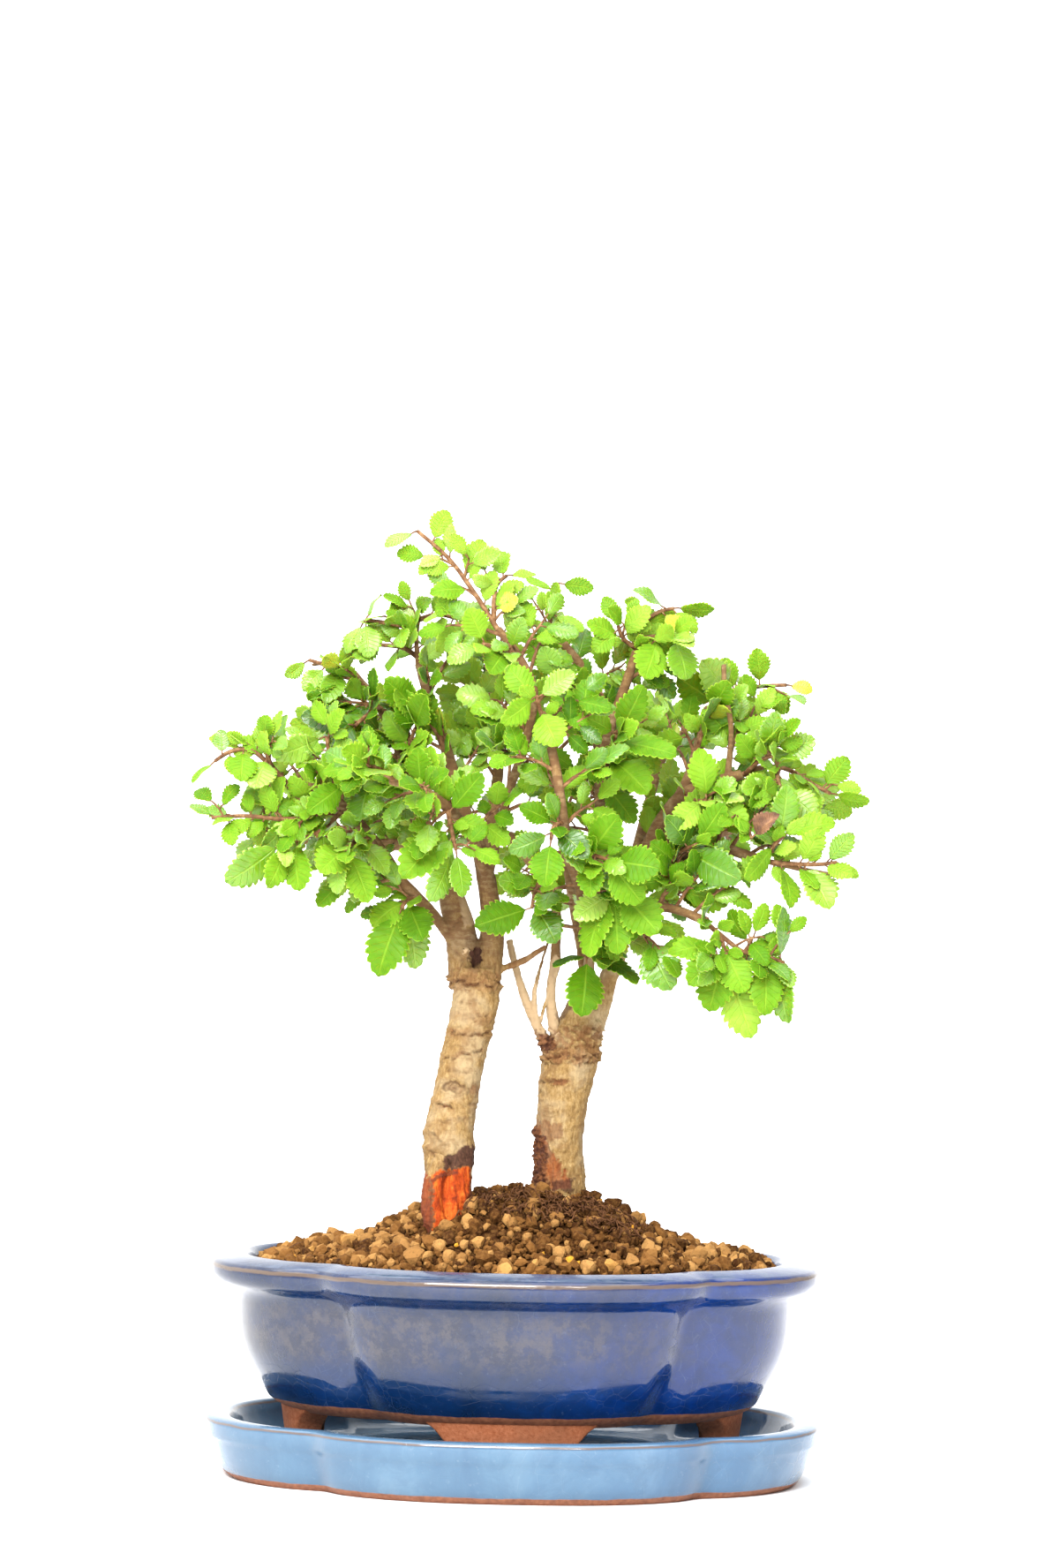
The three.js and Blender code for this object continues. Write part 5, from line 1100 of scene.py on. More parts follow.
def broken_rock(corners, edges, seed, fine):
    """An angular pebble: corners pushed in and out, edges nearly straight between them."""
    reach = np.array([0.64 + 0.62 * draw(seed, n, 22) for n in range(len(corners))])[:, None]
    verts = corners * reach
    if not fine:
        return verts
    bulge = np.array([0.98 + 0.2 * draw(seed, n, 23) for n in range(len(edges))])[:, None]
    return np.concatenate([verts, (verts[edges[:, 0]] + verts[edges[:, 1]]) / 2 * bulge])


def spin(seed):
    """A seeded rotation matrix."""
    a, b, c = (draw(seed, n, 61) * 2 * math.pi for n in range(3))
    ca, sa, cb, sb, cc, sc = math.cos(a), math.sin(a), math.cos(b), math.sin(b), math.cos(c), math.sin(c)
    return np.array([[ca * cb, ca * sb * sc - sa * cc, ca * sb * cc + sa * sc],
                     [sa * cb, sa * sb * sc + ca * cc, sa * sb * cc - ca * sc],
                     [-sb, cb * sc, cb * cc]])


# Layers of grains as (distance apart, least half size, how much larger some are, height over the soil);
# above the lowest layer, grains from a certain half size on have finer faces. The rows are tried out to
# the ends in X and Y, and what lies past the pot's wall is dropped
GRAIN_LAYERS = [(3.0, 1.4, 1.4, -3.2), (4.6, 1.3, 3.4, -2.0), (13.0, 3.0, 2.4, -1.8)]
DETAILED_GRAIN = 1.9
GRAINS_END_X = 115
GRAINS_END_Y = 95
FIBRE_COUNT = 190


def make_grains():
    """Loose akadama grains over the bed: fine ones, common ones, and a few large ones."""
    corners, edges, coarse, fine = rock()
    builds = [Build() for _ in range(3)]
    seed = 0
    for layer, (pitch, least, spread, rise) in enumerate(GRAIN_LAYERS):
        rows, columns = round(GRAINS_END_Y / pitch), round(GRAINS_END_X / pitch)
        for j in range(-rows, rows + 1):
            for i in range(-columns, columns + 1):
                seed += 1
                x = (i + draw(seed, 1, 21) * 0.95) * pitch
                y = (j + draw(seed, 2, 21) * 0.95) * pitch
                angle = math.atan2(y, x)
                edge = max(end_lobe(angle), front_lobe(angle, pot_lobe_length(89))) * GRAIN_HALF_LENGTH
                size = least + spread * draw(seed, 3, 21) ** 3
                heap = math.exp(-(((x - 12) / 42) ** 2 + ((y + 10) / 38) ** 2))
                if layer:
                    size *= 1 - 0.25 * heap
                if math.hypot(x, y) > edge - size * 0.9:
                    continue
                z = soil_height(x, y) + rise + lerp(-0.4, 0.8, draw(seed, 4, 21))
                scale = np.array([1.0, 0.72 + 0.3 * draw(seed, 5, 21), 0.62 + 0.3 * draw(seed, 6, 21)])
                detailed = layer > 0 and size > DETAILED_GRAIN
                shape = broken_rock(corners, edges, seed, detailed)
                verts = (shape * scale * size) @ spin(seed).T + (x, y, z)
                faces = fine if detailed else coarse
                builds[layer].add(verts, faces, value=(0, 0, grain_tone(seed, layer, heap)))
    for build, name in zip(builds, ("soil_fine", "soil_grains", "soil_lumps")):
        new_piece(name, build.mesh(name), [GRAIN], smooth=False)


def grain_tone(seed, layer, heap):
    """Dark on the lowest, fine grains, as painted shade between the grains above, and on the heap between
    the trunks; ochre to yellow elsewhere.
    """
    shade = draw(seed, 7, 21)
    # Painted shade: the lowest layer is darker, and shows in the gaps between the grains above
    if layer == 0:
        return lerp(0.05, 0.5, shade * (1 - 0.6 * heap))
    if draw(seed, 9, 21) > 0.985:
        return 1.0
    if draw(seed, 10, 21) > 0.86 - 0.3 * heap:
        return 0.12
    return 0.22 + 0.64 * shade ** 1.1 - 0.24 * heap * draw(seed, 8, 21)


def make_fibres():
    """Fine dead roots that lie on the heap between and beside the trunks."""
    build = Build()
    for n in range(FIBRE_COUNT):
        x = lerp(-26, 50, draw(n, 1, 81))
        y = lerp(-42, -14, draw(n, 2, 81))
        angle = 2 * math.pi * draw(n, 3, 81)
        reach = lerp(3, 9, draw(n, 4, 81))
        points = []
        for k in range(5):
            angle += 1.3 * (draw(n, k, 82) - 0.5)
            x += math.cos(angle) * reach / 4
            y += math.sin(angle) * reach / 4
            points.append((x, y, soil_height(x, y) - 0.6 + 3.0 * draw(n, k, 83)))
        verts, faces = tube(Route(points), lambda share: lerp(0.38, 0.16, share), 5, 12)
        build.add(verts, faces)
    new_piece("soil_fibres", build.mesh("soil_fibres"), [FIBRE])


# Wood


def tube(route, radius, sides, rings, rough=0.0, seed=0):
    """A closed tube along a route; radius is a function of the share of its length."""
    normal = unit(np.cross(route.heading(0), (0.3, 0.9, 0.2)))
    verts = []
    for n in range(rings):
        share = n / (rings - 1)
        tangent = route.heading(share)
        normal = unit(normal - tangent * np.dot(normal, tangent))
        other = np.cross(tangent, normal)
        centre, r = route.at(share), radius(share)
        for k in range(sides):
            a = 2 * math.pi * k / sides
            reach = r * (1 + rough * (draw(n, k, seed) - 0.5))
            verts.append(centre + (normal * math.cos(a) + other * math.sin(a)) * reach)
    faces = ring_quads(rings, sides)
    faces.append(tuple(reversed(range(sides))))
    faces.append(tuple((rings - 1) * sides + k for k in range(sides)))
    return verts, faces


# Radius above which a stem counts as thick, size of the mesh on the wood, and how far that mesh is thinned
# out above a height
THICK_STEM = 6
WOOD_VOXEL = 0.55
LIMB_Z = 232
LIMB_THINNING = 0.85


def stem_route(stem):
    return Route([p[1:] for p in stem], [p[0] for p in stem])


# Dead twigs and spurs that the solids leave out, as (radius, x, y, z)
LEFT_TWIGLETS = [
    [(1.3, -13, -8, 207.5), (1.0, -5, -10, 210.5), (0.85, 2, -12, 213.6), (0.6, 10, -14, 219)],
    [(0.9, -21, -20, 213), (0.8, -22.4, -23, 215.6), (0.7, -23.2, -24, 217.4)],
    [(0.8, -24, -30, 282), (0.6, -25, -33, 290)],
    [(1.0, -96, -26, 283), (0.7, -92, -28, 278), (0.5, -89, -29, 276)],
    [(0.9, -75, 6, 331), (0.6, -84, 5, 334), (0.4, -89, 4, 333)],
]
RIGHT_TWIGLETS = [
    [(1.1, 8.6, 3, 182), (0.9, 6.6, 0, 190), (0.8, 5.8, -1, 199), (0.7, 8, -2, 210), (0.5, 11, -3, 221)],
    [(0.9, 14, -4, 206), (0.8, 15.6, -6, 212), (0.6, 14.6, -7, 223)],
    [(0.5, 8.6, 2, 188), (0.4, 10.6, 0, 196), (0.3, 12.4, -1, 203)],
    [(1.2, 83, -18, 289), (1.0, 84, -20, 310), (1.0, 81, -20, 326), (0.9, 80.4, -20, 336)],
    [(1.0, 71, -2, 301), (0.9, 72, -8, 309), (0.8, 77, -10, 318)],
    [(1.0, 98, -36, 256), (0.8, 118, -38, 252), (0.6, 130, -40, 250)],
    [(1.6, 31, 8, 184), (1.2, 33.4, 6, 186)],
]

# What shows on the bark from the front, all as (x, z): crack lines as (depth, points), patches as
# (kind, strength, corners of the outline), and knots as (x, z, half width, half height, strength). A kind
# is one of the colours stain, rust, dark and pale, or a form: rough, red, hole, warts or bleached. The dark
# of cracks, of strong knots and of holes is painted shade
LEFT_CRACKS = [
    (1.0, [(-29, 203.5), (-24.4, 205), (-19.8, 202.4), (-15.4, 204.2), (-11.7, 202.1), (-7, 204.4)]),
    (0.7, [(-21.4, 189.3), (-17.8, 188.4)]), (0.45, [(-27.7, 190.5), (-20, 191.2), (-13.3, 189.9)]),
    (0.8, [(-27.5, 183.8), (-21, 182.4), (-15.8, 182.6), (-11.5, 183.8)]),
    (0.4, [(-24, 196), (-16, 195.4)]),
    (0.7, [(-30.5, 173.3), (-27, 173), (-23.8, 174.8), (-15.7, 175.6)]),
    (0.3, [(-28, 178), (-18, 177.4)]), (1.0, [(-33, 154.4), (-30, 154.0), (-27, 153.2)]),
    (0.3, [(-22, 153.6), (-17, 154.2)]), (0.35, [(-30, 168.4), (-20, 168.0)]),
    (0.35, [(-33, 147.6), (-22, 148.3)]), (0.5, [(-36, 142.4), (-33, 141.8), (-31, 139.2)]),
    (0.5, [(-37, 136), (-34, 134.4), (-31.5, 131.5)]), (0.5, [(-30, 224), (-24, 231)]),
    (0.4, [(-15, 226), (-11, 236)]), (0.4, [(-27, 217), (-24, 212), (-26, 207)]),
    (0.4, [(-11, 215), (-10, 208)]),
]
LEFT_PATCHES = [
    ("warts", 0.6, [(-31, 200), (-5, 200), (-5, 208.5), (-31, 208)]),
    ("dark", 1.0, [(-29.5, 133.6), (-25.7, 134.6), (-20.4, 138.8), (-16, 138.2), (-16, 131),
        (-20.6, 127.8), (-25.6, 128.9), (-29, 128.2)]),
    ("stain", 1.0, [(-34.4, 126.6), (-30.9, 128.6), (-19, 129), (-19, 118.6), (-21, 112), (-24.6, 106),
        (-30, 96), (-33, 96), (-33.4, 116.6)]),
    ("dark", 0.8, [(-34.6, 125.6), (-30.5, 127.4), (-24, 128.4), (-24, 126.6), (-30, 125.4),
        (-34, 123.4)]),
    ("rust", 0.8, [(-40, 127.3), (-34.6, 126.4), (-33.4, 116.6), (-33.2, 98), (-40, 98)]),
    ("stain", 0.6, [(-40, 126.8), (-35.2, 126), (-34, 116.6), (-33.8, 96), (-40, 96)]),
    ("dark", 0.55, [(-40, 126), (-33.6, 126), (-32.8, 96), (-40, 96)]),
    ("rust", 1.0, [(-19.4, 126), (-14, 128), (-14, 94), (-31, 94), (-24.8, 106.6), (-21.2, 112)]),
    # Painted shade at the left trunk's foot, right of the orange root, where the soil heap meets it
    ("dark", 0.6, [(-20.4, 119), (-14, 119), (-14, 94), (-27, 94), (-23.6, 106.6)]),
    ("rust", 0.4, [(-5.4, 206), (14, 212), (14, 224), (-5.4, 216)]),
    ("hole", 1.0, [(-21.6, 218.2), (-17, 218), (-16.2, 213), (-18.6, 210), (-22.2, 212)]),
    ("pale", 0.9, [(-23.6, 217.6), (-21.2, 218), (-20.4, 215.4), (-22, 214.8)]),
    ("rust", 0.55, [(-20.5, 161.6), (-15.5, 162.4), (-15.5, 157.8), (-20, 158.6)]),
    ("dark", 0.35, [(-23, 222), (-17, 226), (-15.5, 216), (-17.4, 208), (-21, 209)]),
    ("rust", 0.35, [(-30, 206.6), (-6, 207), (-6, 201.6), (-30, 201)]),
    ("rust", 0.25, [(-29, 192), (-12, 192), (-12, 187), (-29, 188.4)]),
    ("rust", 0.25, [(-30, 184.6), (-11, 184.8), (-11, 181), (-30, 182)]),
    ("pale", 0.5, [(-26, 238), (-20.5, 240), (-18.6, 228), (-23.5, 226)]),
    ("rust", 0.5, [(-26, 250), (-20, 250), (-22, 262), (-28, 262)]),
]
LEFT_KNOTS = [(-26.2, 160.8, 4.6, 2.6, 1.0), (-35.4, 139.5, 3.0, 4.0, 0.8), (-29.5, 136.5, 3.2, 2.4, 0.7)]
LEFT_GRAIN = (0.5, 0.5, 0.9)
LEFT_BARK = (LEFT_CRACKS, LEFT_PATCHES, LEFT_KNOTS, LEFT_GRAIN)
RIGHT_CRACKS = [
    (0.9, [(7, 174.4), (12, 173.0), (19, 174.2), (25, 173.0), (32, 174.8)]),
    (0.5, [(9, 171), (18, 170.2), (31, 171.6)]), (0.5, [(12, 178), (20, 177.2), (31, 178.6)]),
    (0.8, [(8.9, 162.9), (15, 163.4), (20.3, 163.1)]), (0.35, [(8, 158), (12, 157.4)]),
    (0.3, [(10, 150.6), (17, 150.2)]), (0.4, [(19, 184.6), (28, 184)]),
]
RIGHT_PATCHES = [
    ("warts", 1.0, [(4, 170.5), (34, 171.5), (34, 185), (24, 187), (5, 184)]),
    ("rough", 1.0, [(4, 143), (8.5, 144.5), (11.6, 140.7), (11.8, 131.7), (13.4, 119.7), (4, 119)]),
    ("rust", 0.65, [(7, 147.2), (18.3, 146), (18.4, 140.4), (13, 138.4), (7, 141)]),
    ("red", 1.0, [(11.4, 139), (15.4, 132.6), (19.4, 126.8), (23.2, 120.4), (14.3, 117.9), (12.2, 127.1)]),
    ("dark", 0.85, [(14.6, 123), (23.6, 123.4), (23.6, 118), (14.2, 118)]),
    ("rust", 0.8, [(14, 164.4), (18.6, 165), (20.4, 163), (18, 161.2), (14.4, 162)]),
    ("rust", 0.45, [(8, 176.6), (33, 178), (33, 172.4), (8, 172)]),
    ("bleached", 0.85, [(-9, 224), (-1, 224), (12.4, 181), (8.4, 178.4), (4, 182)]),
    ("bleached", 0.9, [(10.2, 181), (16.4, 181), (16.2, 212), (14.4, 216), (10.6, 211)]),
    ("rough", 0.9, [(8, 183), (14, 181), (16, 177), (12, 175), (7, 177)]),
    ("dark", 0.6, [(14, 190), (17, 199), (31, 199), (31, 194.6), (22, 193.2), (18, 188)]),
]
RIGHT_KNOTS = [(31.6, 185.4, 2.0, 2.2, 0.8), (26, 181, 2.2, 1.4, 0.5), (28.5, 176.4, 2.2, 1.4, 0.7),
               (20, 176, 2.0, 1.4, 0.5), (24, 178.6, 1.6, 1.2, 0.5)]
RIGHT_GRAIN = (0.7, 0.7, 0.45)
RIGHT_BARK = (RIGHT_CRACKS, RIGHT_PATCHES, RIGHT_KNOTS, RIGHT_GRAIN)


def line_distance(x, z, points):
    """Distance of each (x, z) from a line of points."""
    best = np.full(len(x), 1e9)
    for (x0, z0), (x1, z1) in zip(points, points[1:]):
        along_x, along_z = x1 - x0, z1 - z0
        t = np.clip(((x - x0) * along_x + (z - z0) * along_z) / (along_x**2 + along_z**2), 0, 1)
        best = np.minimum(best, np.hypot(x - x0 - t * along_x, z - z0 - t * along_z))
    return best


def patch_cover(x, z, corners):
    """1 inside the outline, 0 outside, with a narrow soft edge."""
    inside = np.zeros(len(x), bool)
    for (x0, z0), (x1, z1) in zip(corners, corners[1:] + corners[:1]):
        crosses = (z0 > z) != (z1 > z)
        if z0 != z1:
            inside ^= crosses & (x < x0 + (z - z0) * (x1 - x0) / (z1 - z0))
    edge = line_distance(x, z, corners + corners[:1])
    return smooth_step(np.where(inside, edge, -edge), -0.35, 0.35)


def hump(away, width):
    """1 where away is 0, falling to 0 over about twice the width."""
    return np.exp(-((away / width) ** 2))


class BarkRelief:
    """Raises bark on one tree's wood, and marks where it is cracked, stained or dark; the dark of cracks,
    strong knots and holes, and of the left trunk's foot by the soil, is painted shade.
    """

    def __init__(self, mesh, grain):
        """grain is the scale of the fine relief along X, Y and Z."""
        self.mesh = mesh
        self.places = vertex_places(mesh)
        self.normals = vertex_normals(mesh)
        self.facing = smooth_step(-self.normals[:, 1], -0.35, 0.1)
        self.fine = self.field(grain, 5.0, 3)
        self.broken = smooth_step(self.field((0.3, 0.3, 0.5), 47.0, 2), -0.35, 0.1)
        self.flaky = smooth_step(self.field((0.4, 0.4, 0.6), 33.0, 2), -0.1, 0.25)
        lumps = self.field((0.07, 0.07, 0.05), 3.0)
        ripple = self.field((0.10, 0.10, 0.42), 11.0, 3)
        self.lift = 0.7 * lumps + 0.22 * ripple + 0.24 * self.fine
        wobble = self.field((0.35, 0.35, 0.2), 21.0, 2)
        self.x = self.places[:, 0] + 0.8 * wobble
        self.z = self.places[:, 2] + 1.1 * wobble
        self.values = {name: np.zeros(len(self.places)) for name in BARK_MARKS}

    def field(self, scale, seed, octaves=1):
        """Smooth noise at each vertex, with a scale for each axis."""
        points = (self.places * scale + seed).tolist()
        if octaves == 1:
            return np.array([noise.noise(Vector(p)) for p in points])
        return np.array([noise.fractal(Vector(p), 0.6, 2.1, octaves) for p in points])

    def mark(self, name, amount):
        self.values[name] = np.maximum(self.values[name], amount)

    def crack_shade(self, depth, points):
        """A groove along a line with raised shoulders, rusty in places, broken up, with painted shade in
        it.
        """
        away = line_distance(self.x, self.z, points)
        self.mark("rust", 0.55 * depth * self.flaky * self.facing * hump(away, 1.9))
        groove = hump(away, 0.6) * self.facing * depth * lerp(self.broken, 1, 0.3 * depth)
        shoulder = hump(away - 1.3, 0.8) * self.facing * depth
        self.lift += 0.5 * shoulder - 1.1 * groove
        self.mark("crack_shade", groove)

    def patch(self, kind, strength, corners):
        """A colour or a form inside an outline whose edge the fine relief frays."""
        inside = patch_cover(self.x + 0.9 * self.fine, self.z + 1.1 * self.fine, corners)
        cover = inside * self.facing * strength
        if kind == "bleached":
            self.mark("pale", cover)
        elif kind == "rough":
            self.mark("rust", cover)
            self.mark("dark", cover * (0.75 * self.flaky + 0.15))
            self.lift += cover * 2.2 * np.abs(self.field((0.5, 0.5, 0.45), 61.0, 2))
        elif kind == "red":
            self.mark("stain", cover * 0.5)
            self.mark("dark", cover * 0.3)
            self.lift -= cover * 0.5
        # Painted shade: a shallow hollow made as dark as a deep hole's shade
        elif kind == "hole":
            self.mark("dark", cover)
            self.lift -= 2.0 * cover
        elif kind == "warts":
            warts = np.clip(self.field((0.42, 0.42, 0.5), 83.0, 2), 0, 1)
            self.mark("rust", cover * smooth_step(warts, 0.25, 0.02) * 0.6)
            self.lift += cover * 2.6 * warts
        else:
            self.coloured(kind, cover)

    def coloured(self, kind, cover):
        """A patch of stain, rust, dark or pale; a stain covers what was dark before it."""
        if kind == "stain":
            self.values["dark"] *= 1 - cover
            self.lift += cover * 0.5 * self.field((0.7, 0.7, 0.12), 71.0)
        self.mark(kind, cover)
        self.lift += cover * {"pale": 1.4, "dark": 0.3}.get(kind, 0)

    def knot(self, x, z, half_width, half_height, strength):
        """A raised ring round a hollow; a strong one has dark rings, broadest towards its upper lid, and a
        dark middle with an inner ring on its left half, all painted shade of the hollow under its lid.
        """
        reach = np.sqrt(((self.x - x) / half_width) ** 2 + ((self.z - z) / half_height) ** 2)
        self.lift += (1.1 * hump(reach - 1.05, 0.3) - 0.7 * hump(reach, 0.6)) * self.facing * strength
        if strength < 1:
            return
        lid = smooth_step(self.z, z - half_height, z + half_height)
        rings = hump(reach - 0.86, 0.16) * (0.35 + 0.65 * lid) + hump(reach, 0.3)
        rings += 0.7 * hump(reach - 0.5, 0.1) * smooth_step(self.x, x + 2, x - 1)
        self.mark("crack_shade", 0.95 * np.minimum(rings, 1) * self.facing)
        self.mark("rust", 0.25 * np.exp(-((reach / 0.9) ** 4)) * self.facing)

    def finish(self):
        """Puts the relief on the mesh, less of it on the limbs than on the trunk."""
        girth = smooth_step(self.places[:, 2], 250, 195)
        rise = self.lift * lerp(0.35, 1.0, girth)
        set_places(self.mesh, self.places + self.normals * rise[:, None])
        for name, amounts in self.values.items():
            set_value(self.mesh, name, np.clip(amounts, 0, 1))


def fewer_limb_faces(mesh):
    """Thins out the mesh of the limbs, which need less of it than the trunk."""
    above = vertex_places(mesh)[:, 2] > LIMB_Z
    ratio = 1 - LIMB_THINNING * float(above.mean())
    limbs = [int(n) for n in np.flatnonzero(above)]
    return evaluated(mesh, [("DECIMATE", {"ratio": ratio, "vertex_group": "chosen"})], limbs)


def make_tree(name, node, stems, bark):
    """One tree's wood; thin stems start a little thicker for what the smoothing takes off."""
    build = Build()
    for n, stem in enumerate(stems):
        route = stem_route(stem)
        thick = stem[0][0] > THICK_STEM
        spare = 0 if thick else 0.25
        sides = 32 if thick else 14
        rings = max(8, int(route.length / 2))
        build.add(*tube(route, lambda share: route.value(share) + spare, sides, rings, 0.06, n))
    mesh = evaluated(build.mesh(name), [
        ("REMESH", {"mode": "VOXEL", "voxel_size": WOOD_VOXEL * MM}),
        ("SMOOTH", {"factor": 0.5, "iterations": 2}),
    ])
    mesh = fewer_limb_faces(mesh)
    cracks, patches, knots, grain = bark
    relief = BarkRelief(mesh, grain)
    for crack_shade in cracks:
        relief.crack_shade(*crack_shade)
    for patch in patches:
        relief.patch(*patch)
    for knot in knots:
        relief.knot(*knot)
    relief.finish()
    new_piece(name, mesh, [BARK], [node])


# Leaves


# Tone of a yellow leaf, highest tone of a green one, and how many small leaves in a hundred are yellow
YELLOW = 0.96
GREEN_LIMIT = 0.82
YELLOW_LEAVES = 2

# A leaf seen from its face is as wide as this share of its length
LEAF_RATIO = 0.62
BLADE_THICKNESS = 0.3
PETIOLE_LENGTH = 2.4

# Material slots of a leafy piece
LEAFY_MATERIALS = [TWIG, LEAF, GLOSSY_LEAF, DEAD_LEAF]
TWIG_SLOT, LEAF_SLOT, GLOSSY_SLOT, DEAD_SLOT = range(4)


class BladeShape:
    """Grid of a toothed blade: rows from base to tip, columns from edge to edge, and two skins."""

    def __init__(self, teeth, phases, columns):
        self.columns = np.array(columns, float)
        rows = [(0.0, 0.08, 0.08, 0.0), (0.05, 0.3, 0.3, 0.0), (0.1, 0.45, 0.45, 0.0)]
        for n in range(teeth):
            for phase, factor, lean in phases:
                share = lerp(0.15, 0.96, (n + phase) / teeth)
                width = math.sin(math.pi * share) ** 0.72
                rows.append((share, width, width * factor, lean))
        rows += [(0.972, 0.17, 0.16, 0.0), (1.0, 0.04, 0.04, 0.0)]
        self.rows = np.array(rows)
        self.faces = self.skin_faces()

    def skin_faces(self):
        across, rows = len(self.columns), len(self.rows)
        skin = across * rows
        faces = []
        for r in range(rows - 1):
            for c in range(across - 1):
                a = r * across + c
                quad = (a, a + 1, a + across + 1, a + across)
                faces.append(quad)
                faces.append(tuple(skin + n for n in reversed(quad)))
        loop = list(range(across)) + [r * across + across - 1 for r in range(1, rows)]
        loop += [(rows - 1) * across + c for c in range(across - 2, -1, -1)]
        loop += [r * across for r in range(rows - 2, 0, -1)]
        for n, a in enumerate(loop):
            b = loop[(n + 1) % len(loop)]
            faces.append((b, a, skin + a, skin + b))
        return faces


# Rows within a tooth: (share of the tooth, reach of the edge, how far the edge leans forward)
FINE_BLADE = BladeShape(7, ((0.0, 0.86, 0.0), (0.4, 1.02, 0.01), (0.75, 1.07, 0.025)),
                        (-1, -0.8, -0.4, 0, 0.4, 0.8, 1))
PLAIN_BLADE = BladeShape(6, ((0.0, 0.83, 0.0), (0.6, 1.07, 0.025)), (-1, -0.55, 0, 0.55, 1))
SMALL_BLADE = BladeShape(5, ((0.0, 0.83, 0.0), (0.6, 1.07, 0.025)), (-1, 0, 1))


def leaf_facing(base, seed, leaf, steady=False):
    """Where a leaf's face looks: out of the crown, to the front or back; steady ones are shaken less."""
    outward = base - CROWN_CENTRE
    outward[2] = 0
    side = 1 if base[1] > 25 else -1
    shake = np.array([draw(seed, leaf, n) - 0.5 for n in (5, 6, 7)])
    if steady:
        return unit(np.array([0, side, 0.3]) + 0.2 * unit(outward) + 0.6 * shake)
    return unit(np.array([0, 0.8 * side, 0.5]) + 0.5 * unit(outward) + 1.2 * shake)


def blade(shape, base, tip, facing, ratio, seed, leaf, wilt=0.0):
    """Vertices of a leaf blade from its base to its tip; a slim one is a broad one seen from its edge."""
    along = tip - base
    length = np.linalg.norm(along)
    along = along / length
    normal = unit(facing - along * np.dot(facing, along))
    if ratio < LEAF_RATIO - 0.06:
        side = 1 if draw(seed, leaf, 31) > 0.5 else -1
        normal = turned(normal, along, side * math.degrees(math.acos(max(ratio, 0.3) / LEAF_RATIO)))
    width = max(ratio, LEAF_RATIO) * length / 2
    across = np.cross(along, normal)
    arch = (lerp(0.02, 0.12, draw(seed, leaf, 32)) + 0.2 * wilt) * length
    fold = lerp(-0.12, 0.34, draw(seed, leaf, 33)) + wilt
    curl = lerp(0.0, 0.3, draw(seed, leaf, 34))
    twist = lerp(-14, 14, draw(seed, leaf, 35))
    wave = lerp(0.01, 0.035, draw(seed, leaf, 36)) * length
    share, half, toothed, lean = (shape.rows[:, n][:, None] for n in range(4))
    column = shape.columns[None, :]
    side = np.abs(column)
    outermost = side > 0.99
    reach = np.where(outermost, toothed, half) * width * column
    forward = (share + np.where(outermost, lean, 0) + 0.05 * side * (1 - share)) * length
    forward = np.minimum(forward, length)
    turn = np.radians(twist) * (share - 0.3)
    height = 4 * arch * share * (1 - share) + fold * np.abs(reach) * (1 - curl * side**2 * 2)
    height = height + wave * np.sin(share * 9 + seed + leaf * 2.3 + column * 1.4) * side
    ridges = np.cos(share * 2 * math.pi * VEIN_COUNT - side * 2.2) * side * (1 - side) * 2
    height = height + 0.018 * length * ridges
    sideways = reach * np.cos(turn) - height * np.sin(turn)
    height = height * np.cos(turn) + reach * np.sin(turn)
    top = base + forward[..., None] * along + sideways[..., None] * across + height[..., None] * normal
    skin = top.reshape(-1, 3)
    return np.concatenate([skin, skin - normal * BLADE_THICKNESS])


class Foliage(Build):
    """Wood and leaves of one piece; glossy is the share of its leaves that shine."""

    def __init__(self, glossy=0.3, shape=SMALL_BLADE):
        super().__init__()
        self.under = []
        self.glossy = glossy
        self.shape = shape

    def piece(self, name, node, replaced=()):
        """Puts it into the scene and hides the nodes of the frame that it replaces; node is not used."""
        mesh = self.mesh(name)
        set_value(mesh, "under", self.under)
        new_piece(name, mesh, LEAFY_MATERIALS, replaced)


def add_leaf(build, shape, root, tip, facing, ratio, tone, seed, leaf, wilted=False):
    """A blade with its stalk, from its root on the twig to its tip."""
    along = unit(tip - root)
    start = root + along * min(PETIOLE_LENGTH, 0.16 * np.linalg.norm(tip - root))
    verts = blade(shape, start, tip, facing, ratio, seed, leaf, 0.9 if wilted else 0.0)
    if shape is SMALL_BLADE and draw(seed, leaf, 77) > 1 - YELLOW_LEAVES / 100:
        tone = YELLOW
    elif tone < YELLOW:
        tone = min(tone, GREEN_LIMIT)
    slot = GLOSSY_SLOT if draw(seed, leaf, 78) < build.glossy else LEAF_SLOT
    if wilted:
        slot = DEAD_SLOT
    skin = len(verts) // 2
    u = np.repeat(shape.rows[:, 0], len(shape.columns))
    v = np.tile(shape.columns, len(shape.rows))
    values = np.stack([np.tile(u, 2), np.tile(v, 2), np.full(2 * skin, tone)], axis=1)
    build.add(verts, shape.faces, slot, values)
    build.under += [0.0] * skin + [1.0] * skin
    stalk = Route([root, lerp(root, start, 0.5) + UP * 0.15, start + along * 0.8])
    add_wood(build, stalk, 0.42, 0.3, 5, 3)


def add_wood(build, route, base, end, sides, rings, seed=0):
    verts, faces = tube(route, lambda share: lerp(base, end, share), sides, rings, 0.12, seed)
    build.add(verts, faces, TWIG_SLOT)
    build.under += [0.0] * len(verts)


# Radii of a twig at its root and its end, how far apart young leaves and side shoots are along it and
# shoots along a limb, and the height from which limbs carry shoots
TWIG_BASE = 1.15
TWIG_END = 0.75
YOUNG_LEAF_PITCH = 5.5
SIDE_SHOOT_PITCH = 11
SHOOT_PITCH = 11
LOWEST_SHOOT = 222


